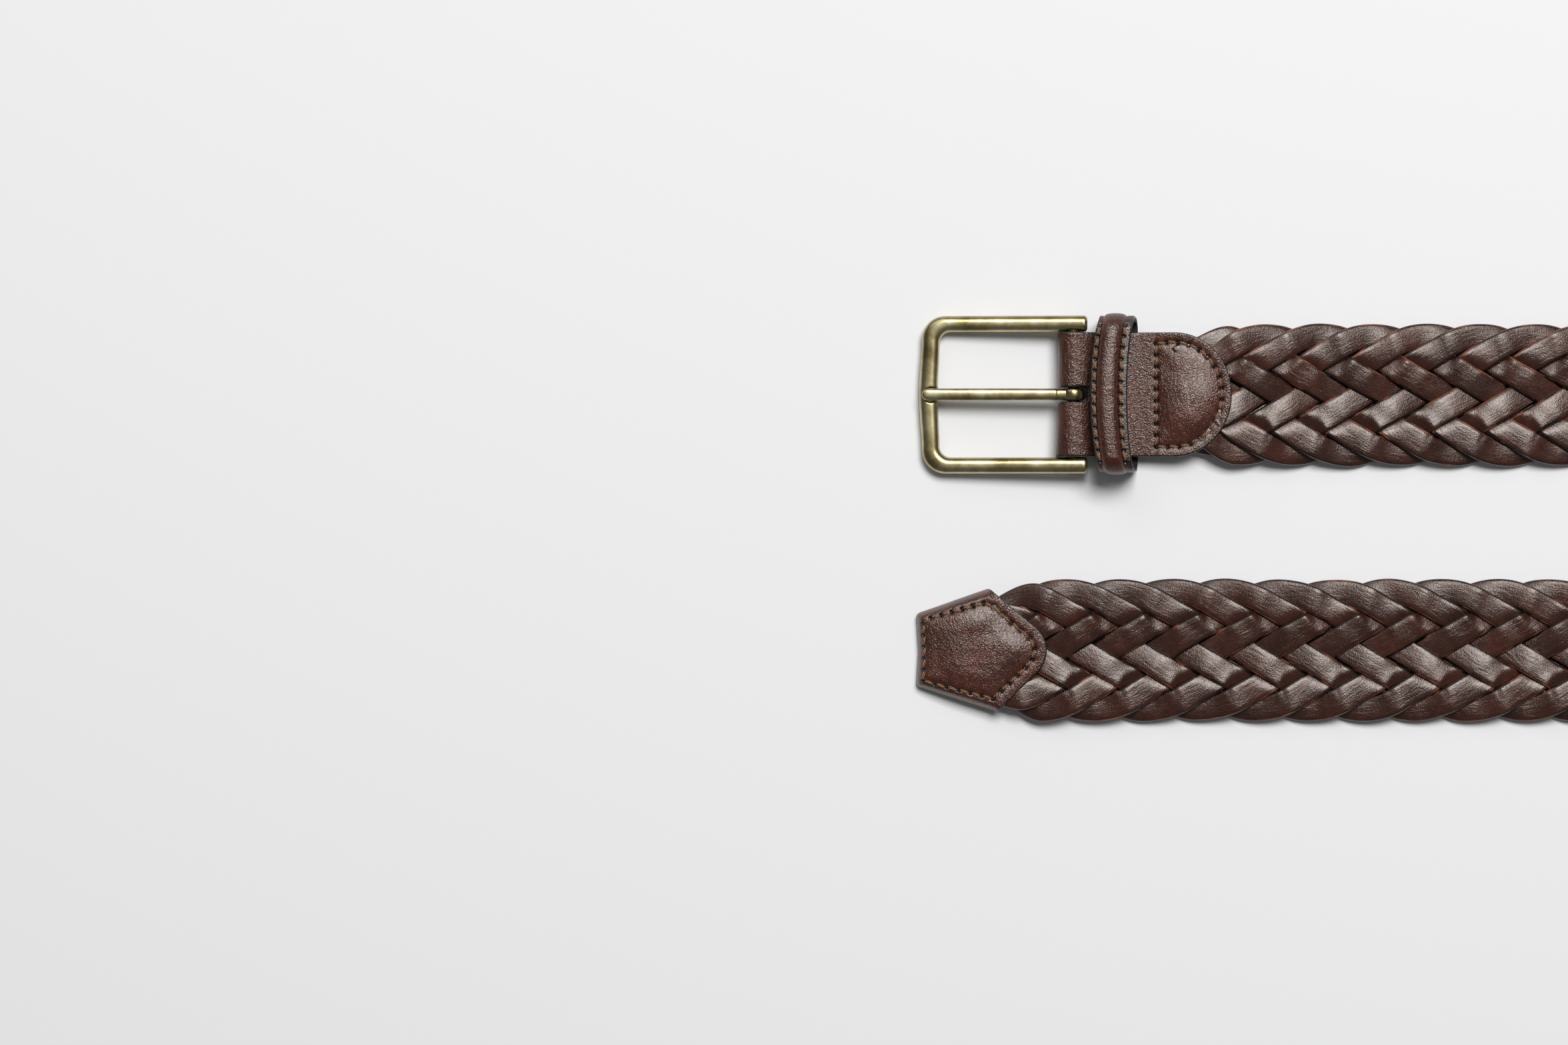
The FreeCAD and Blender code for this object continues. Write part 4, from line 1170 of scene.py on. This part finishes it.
def frame_stations():
    """Matched points on the outer and inner edge, denser at the crossbar's middle and the arm ends."""
    outer = frame_edge(FRAME_HALF, FRAME_LEFT - BOW, OUT_CORNER, BOW, FRAME_RIGHT)
    inner = frame_edge(FRAME_HALF - ARM_W, FRAME_LEFT - BOW - CROSS_W + 0.35, IN_CORNER, BOW * 0.55,
                       FRAME_RIGHT)

    def even(line, f):
        run = cumulative(np.linalg.norm(np.diff(line, axis=0), axis=1))
        # arm, corner, half crossbar: the same share of the line on both edges
        n = len(line)
        cut = [0, 1, 15, (n - 1) // 2]
        marks = [run[c] for c in cut]
        full = marks + [run[-1] - m for m in marks[:-1][::-1]]
        share = [0.0, 0.34, 0.41, 0.5, 0.59, 0.66, 1.0]
        at = np.interp(f, share, full)
        return np.stack([np.interp(at, run, line[:, k]) for k in range(2)], 1)
    ends = np.array([0, 0.0006, 0.002, 0.0045, 0.008, 0.0125])
    f = np.concatenate([ends, np.linspace(0.0175, 0.34, 46), np.linspace(0.34, 0.41, 26)[1:],
                        np.linspace(0.41, 0.47, 14)[1:], np.linspace(0.47, 0.5, 22)[1:]])
    f = np.concatenate([f, (1 - f[:-1])[::-1]])
    return even(outer, f), even(inner, f)


SEAT_R, SEAT_FLOOR = 3.1, 1.1


def build_frame():
    outer, inner = frame_stations()
    mid = (outer + inner) / 2
    half = np.linalg.norm(outer - inner, axis=1) / 2
    across = (outer - inner) / (2 * half)[:, None]
    around = 64
    phi = np.arange(around) / around * 2 * math.pi
    c, s = np.cos(phi), np.sin(phi)
    power = 2 / 2.55
    sx, sz = signed_power(c, power), signed_power(s, power)
    n = len(mid)
    # squared ends with a small round edge
    run = cumulative(np.linalg.norm(np.diff(mid, axis=0), axis=1))
    to_end = np.minimum(run, run[-1] - run)
    cut = round_edge(to_end, 1.0)
    w = (half - cut)[:, None] * sx[None]
    t = (FRAME_T / 2 - cut)[:, None] * sz[None]
    x = mid[:, 0:1] + across[:, 0:1] * w
    y = mid[:, 1:2] + across[:, 1:2] * w
    # seat for the prong's tip: a shallow round-ended hollow
    inner_x = -(FRAME_LEFT - CROSS_W) + 1.0
    seat_half, seat_end = 2.45, -(FRAME_LEFT - 1.0)
    cx = seat_end + seat_half
    reach = np.where(x < cx, np.hypot(x - cx, y), np.abs(y))
    # mask of painted shade in the seat hollow, kept to the upper side below
    seat_shade = smooth((seat_half + 0.1 - reach) / 0.35) * (x < inner_x + 2)
    hollow = SEAT_FLOOR + SEAT_R - np.sqrt(np.clip(SEAT_R ** 2 - reach ** 2, 0, None))
    t = np.where((reach < SEAT_R * 0.97) & (x < inner_x + 2) & (t > hollow), hollow, t)
    pts = buckle_place(np.stack([x, y, t], -1)).reshape(-1, 3)
    uv = ring_uv(run / 100, phi)
    seat_shade = np.where(np.sin(phi)[None] > -0.2, seat_shade, 0.0).ravel()
    obj = mesh_object("buckle_body", pts, tube_faces(n, around), uv.reshape(-1, 2), {"seat_shade": seat_shade})
    obj.data.materials.append(MAT_BRASS)
    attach(obj, "buckle")
    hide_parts("buckle_frame")
    return obj


PRONG_W, PRONG_T, PRONG_REACH, RING_R = 3.5, 2.75, 42.4, 3.4


def build_prong():
    around = 36
    phi = np.arange(around) / around * 2 * math.pi
    c, s = np.cos(phi), np.sin(phi)
    power = 2 / 2.9
    sx, sz = signed_power(c, power), signed_power(s, power)
    # from the rounded tip back to the ring
    d = np.concatenate([[0.02, 0.1, 0.25, 0.5, 0.8, 1.2, 1.7], np.linspace(2.3, 37.0, 48),
                        np.linspace(37.3, 40.6, 12)])
    x = -PRONG_REACH + d
    tip = np.sqrt(np.clip(1 - (1 - np.clip(d / 1.75, 0, 1)) ** 2, 0, 1))
    w = PRONG_W / 2 * tip * (1 - 0.04 * smooth((d - 20) / 18))
    # a shallow step where the shaft meets the ring
    step_in = smooth((d - 37.4) / 0.9)
    w = w * (1 - 0.10 * step_in)
    t = PRONG_T / 2 * (0.35 + 0.65 * np.sqrt(tip)) * (1 - 0.10 * step_in)
    t = t * (1 - 0.14 * (1 - smooth(d / 9.0)))
    z = 1.7 + (3.05 - 1.7) / 38.4 * (-x - 1.0) - 0.12 * step_in
    z = z + 0.06 * np.sin(d / 38 * math.pi)
    px = np.repeat(x[:, None], around, 1)
    py = w[:, None] * sx[None]
    pz = z[:, None] + t[:, None] * sz[None]
    shaft = np.stack([px, py, pz], -1).reshape(-1, 3)
    faces = tube_faces(len(d), around)
    uv = [ring_uv(d / 100, phi)]
    # ring round the bar
    turns = 44
    a = np.arange(turns) / turns * 2 * math.pi
    mid_r, half_r, half_w = (RING_R + 1.92) / 2, (RING_R - 1.92) / 2, 1.62
    power = 2 / 3.0
    rx = signed_power(c, power) * half_r
    ry = signed_power(s, power) * half_w
    # the outer side is crowned, which catches the light as a small ball
    rx = rx * np.where(rx > 0, 1 - 0.22 * (ry / half_w) ** 2, 1.0)
    rr = mid_r + rx[None]
    ring = np.stack([rr * np.cos(a)[:, None], np.repeat(ry[None], turns, 0), rr * np.sin(a)[:, None]], -1)
    faces += tube_faces(turns, around, len(shaft), closed=True)
    uv.append(ring_uv(a * 0.03, phi))
    pts = buckle_place(np.vstack([shaft, ring.reshape(-1, 3)]))
    seat_shade = np.zeros(len(pts))
    obj = mesh_object("prong_tongue", pts, faces, np.vstack([u.reshape(-1, 2) for u in uv]), {"seat_shade": seat_shade})
    obj.data.materials.append(MAT_BRASS)
    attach(obj, "prong")
    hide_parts("prong")
    return obj


# ------------------------------------------------------------------ materials of the fittings
def leather_material(name, dark, mid, light, wrinkle=1.0, gloss=(0.24, 0.37)):
    n = Nodes(name)
    uv = n.uv()
    place = n.times(uv, (100.0, 100.0, 0.0))
    long = n.times(uv, (110.0, 45.0, 0.0))
    slow = n.noise(place, 0.09, 3.0)
    patch = n.noise(place, 0.5, 4.0, 0.6)
    grain = n.put("ShaderNodeTexVoronoi", {"Vector": place, "Scale": 2.5, "Randomness": 1.0},
                  feature="SMOOTH_F1")
    n.set(grain.inputs["Smoothness"], 0.6)
    pebble = grain.outputs["Distance"]
    fine = n.noise(place, 5.0, 3.0, 0.6)
    crease = n.noise(long, 1.1, 4.0, 0.62, 0.8)
    edge, hole_shade, under = n.attr("edge"), n.attr("hole_shade"), n.attr("under")
    tone = n.math("ADD", n.math("MULTIPLY", slow, 0.6), n.math("MULTIPLY", patch, 0.4))
    col = n.ramp(tone, [(0.32, dark), (0.5, mid), (0.68, light)])
    # pigment gathers in the grain's valleys
    col = n.mix(n.span(pebble, 0.25, 0.6, 0.0, 0.45), col, dark)
    # burnished darker band beside the cut edge
    near = n.math("ADD", edge, n.math("MULTIPLY", n.noise(place, 0.8, 2.0), 0.5))
    col = n.mix(n.span(near, 0.5, 1.7, 0.55, 0.0), col, dark)
    # painted shade in the stitch holes
    col = n.mix(n.span(hole_shade, 0.12, 0.42, 0.0, 1.0), col, srgb(9, 5, 4))
    flesh = n.ramp(fine, [(0.3, srgb(70, 42, 32)), (0.7, srgb(104, 66, 50))])
    col = n.mix(under, col, flesh)
    wob = n.math("ADD", edge, n.math("MULTIPLY", fine, 0.12))
    paint = n.span(wob, 0.42, 0.54, 1.0, 0.0)
    col = n.mix(paint, col, srgb(24, 19, 18))
    n.set(n.bsdf.inputs["Base Color"], col)
    mottle = n.math("ADD", n.math("MULTIPLY", patch, 0.6), n.math("MULTIPLY", fine, 0.4))
    rough = n.span(mottle, 0.35, 0.65, *gloss)
    rough = n.math("ADD", rough, n.math("MULTIPLY", under, 0.3))
    n.set(n.bsdf.inputs["Roughness"], rough)
    n.even({"IOR": 1.5, "Specular IOR Level": 0.85, "Specular Tint": WARM, "Coat Weight": 0.2,
            "Coat Roughness": 0.3})
    normal = n.bump(crease, 0.45 * wrinkle, 0.0005)
    normal = n.bump(pebble, 0.5, 0.0002, normal)
    normal = n.bump(fine, 0.25, 0.0001, normal)
    n.set(n.bsdf.inputs["Normal"], normal)
    return n.mat


def lining_material():
    n = Nodes("lining_leather")
    uv = n.uv()
    place = n.times(uv, (100.0, 100.0, 0.0))
    nap = n.noise(place, 2.4, 5.0, 0.7)
    n.set(n.bsdf.inputs["Base Color"], n.ramp(nap, [(0.3, srgb(18, 12, 11)), (0.7, srgb(44, 30, 26))]))
    n.set(n.bsdf.inputs["Roughness"], n.span(nap, 0.3, 0.7, 0.62, 0.8))
    n.set(n.bsdf.inputs["Normal"], n.bump(nap, 0.6, 0.0003))
    return n.mat


def thread_material():
    n = Nodes("thread")
    uv = n.uv()
    sep = n.put("ShaderNodeSeparateXYZ", {0: uv})
    turn = n.math("ADD", n.math("MULTIPLY", sep.outputs[1], 3.0), n.math("MULTIPLY", sep.outputs[0], 90.0))
    ply = n.math("SINE", n.math("MULTIPLY", turn, 6.28318))
    fuzz = n.noise(n.times(uv, (600.0, 12.0, 0.0)), 1.0, 4.0, 0.7)
    tone = n.math("ADD", n.math("MULTIPLY", n.span(ply, -1, 1), 0.55), n.math("MULTIPLY", fuzz, 0.45))
    n.set(n.bsdf.inputs["Base Color"], n.ramp(tone, [
        (0.25, srgb(60, 36, 22)), (0.5, srgb(118, 80, 48)), (0.75, srgb(160, 120, 80))]))
    n.even({"Roughness": 0.62, "Sheen Weight": 0.2})
    n.set(n.bsdf.inputs["Normal"], n.bump(tone, 0.5, 0.00012))
    return n.mat


def brass_material(name, dark, mid, light, satin):
    n = Nodes(name)
    uv = n.put("ShaderNodeTexCoord").outputs["Object"]
    place = n.times(uv, (1000.0, 1000.0, 1000.0))
    cloud = n.noise(place, 0.12, 4.0, 0.6)
    speck = n.noise(place, 1.6, 4.0, 0.7)
    brush = n.noise(n.times(uv, (900.0, 4200.0, 4200.0)), 1.0, 3.0, 0.7)
    seat_shade = n.attr("seat_shade")
    col = n.ramp(cloud, [(0.32, dark), (0.5, mid), (0.68, light)])
    col = n.mix(n.span(speck, 0.6, 0.8, 0.0, 0.25), col, srgb(130, 116, 66))
    # painted shade in the prong's seat hollow
    col = n.mix(n.math("MULTIPLY", seat_shade, 0.55), col, srgb(70, 58, 30))
    n.set(n.bsdf.inputs["Base Color"], col)
    n.even({"Metallic": 1.0})
    rough = n.math("ADD", n.span(cloud, 0.3, 0.7, satin, satin + 0.08), n.span(speck, 0.4, 0.7, 0.0, 0.04))
    n.set(n.bsdf.inputs["Roughness"], rough)
    normal = n.bump(brush, 0.10, 0.00006)
    normal = n.bump(speck, 0.05, 0.00003, normal)
    n.set(n.bsdf.inputs["Normal"], normal)
    n.even({"Coat Weight": 0.5, "Coat Roughness": 0.14})
    return n.mat


MAT_TAB = leather_material("tab_leather", srgb(44, 17, 9), srgb(72, 30, 17), srgb(92, 42, 26))
MAT_KEEPER = leather_material("keeper_leather", srgb(42, 16, 9), srgb(70, 29, 17), srgb(90, 41, 26), 0.8)
MAT_LINING = lining_material()
MAT_THREAD = thread_material()
MAT_BRASS = brass_material("brass", srgb(140, 125, 82), srgb(172, 158, 116), srgb(198, 188, 150), 0.25)
# painted shade: the heel bar's brass is made dark and dull because it lies in the shadow of the fold
MAT_PIN_SHADE = brass_material("brass_painted_shade", srgb(40, 32, 18), srgb(62, 50, 28), srgb(84, 70, 40), 0.5)

leather_piece("buckle_tab_leather", tab_outline(), [slot_outline()], TAB_HOLES, tab_place, tab_skin,
              "strap", ["buckle_tab"], MAT_TAB, TAB_THICK, coarse=lambda p: p[:, 0] < -9.0)
sew("buckle_tab_thread", TAB_HOLES, tab_place, lambda p: tab_skin(p, np.full(len(p), 3.0)),
    ["buckle_tab_stitching"], "strap", seed=1)

leather_piece("tip_tab_leather", tip_outline(), [], TIP_HOLES, tip_place, tip_skin,
              "strap", ["tip_tab_front"], MAT_TAB, TIP_THICK,
              edge_of=lambda p, d: d + 3.0 * (1 - tip_cut_side(p)), low_z=1.36)
sew("tip_tab_thread", TIP_HOLES, tip_place, lambda p: tip_skin(p, loop_distance(p, TIP_EDGE)),
    ["tip_tab_stitching"], "strap", seed=2)


def tip_back_place(p):
    pts, normal = tip_place(p)
    pts[:, 2] = 1.35
    return pts, normal


leather_piece("tip_tab_backing", tip_outline(), [], np.zeros((0, 2)), tip_back_place,
              lambda p, d: np.zeros(len(p)), "strap", ["tip_tab_back"], MAT_TAB, 1.29)
keeper_cover()
keeper_lining()
for side_name, row in (("left", ROW_LEFT), ("right", ROW_RIGHT)):
    spots = np.stack([ROW_PLACES, np.full(len(ROW_PLACES), row * BAND)], 1)
    sew("keeper_thread_" + side_name, spots, keeper_row_place, lambda p: np.full(len(p), -0.05),
        ["keeper_stitching_" + side_name], "keeper", closed=False, seed=3 + (row > 0.5))
build_frame()
build_prong()
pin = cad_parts["heel_bar"]
pin.data.materials.clear()
pin.data.materials.append(MAT_PIN_SHADE)


# ------------------------------------------------------------------ stage
def floor_material():
    n = Nodes("pale_floor")
    n.even({"Base Color": (0.86, 0.86, 0.865, 1), "Roughness": 0.9, "Specular IOR Level": 0.1})
    return n.mat


floor = mesh_object("floor", [(-3, -3, 0), (3, -3, 0), (3, 3, 0), (-3, 3, 0)], [(0, 1, 2, 3)],
                    smooth_faces=False, scale=1.0)
floor.data.materials.append(floor_material())

cam_data = bpy.data.cameras.new("camera")
cam = bpy.data.objects.new("camera", cam_data)
bpy.context.scene.collection.objects.link(cam)
CAM_H = 1.3
VIEW_W = 0.443
cam_data.sensor_width = 36.0
cam_data.lens = 36.0 * CAM_H / VIEW_W
cam.location = ((BAR_X - 81.3) * MM, 0.0, CAM_H)
cam.rotation_euler = (0, 0, 0)
bpy.context.scene.camera = cam


def softbox(name, toward, far, wide, deep, radiance):
    """A rectangle of even brightness, far metres away from the buckle in the direction toward."""
    light = bpy.data.lights.new(name, "AREA")
    light.shape = "RECTANGLE"
    light.size = wide
    light.size_y = deep
    light.energy = radiance * math.pi * wide * deep
    aim = Vector((BAR_X * MM, 0, 0))
    place = aim + Vector(toward).normalized() * far
    obj = bpy.data.objects.new(name, light)
    obj.location = place
    obj.rotation_euler = (aim - place).to_track_quat("-Z", "Y").to_euler()
    bpy.context.scene.collection.objects.link(obj)


softbox("main", (0.18, 0.50, 1.0), 2.6, 1.3, 1.0, 16.0)
softbox("side", (-0.5, 0.9, 0.8), 2.6, 1.5, 1.0, 1.4)
world = bpy.data.worlds.new("world")
world.use_nodes = True
world.node_tree.nodes["Background"].inputs[0].default_value = (0.97, 0.98, 1.0, 1)
world.node_tree.nodes["Background"].inputs[1].default_value = 0.12
bpy.context.scene.world = world
bpy.context.scene.view_settings.view_transform = "Standard"
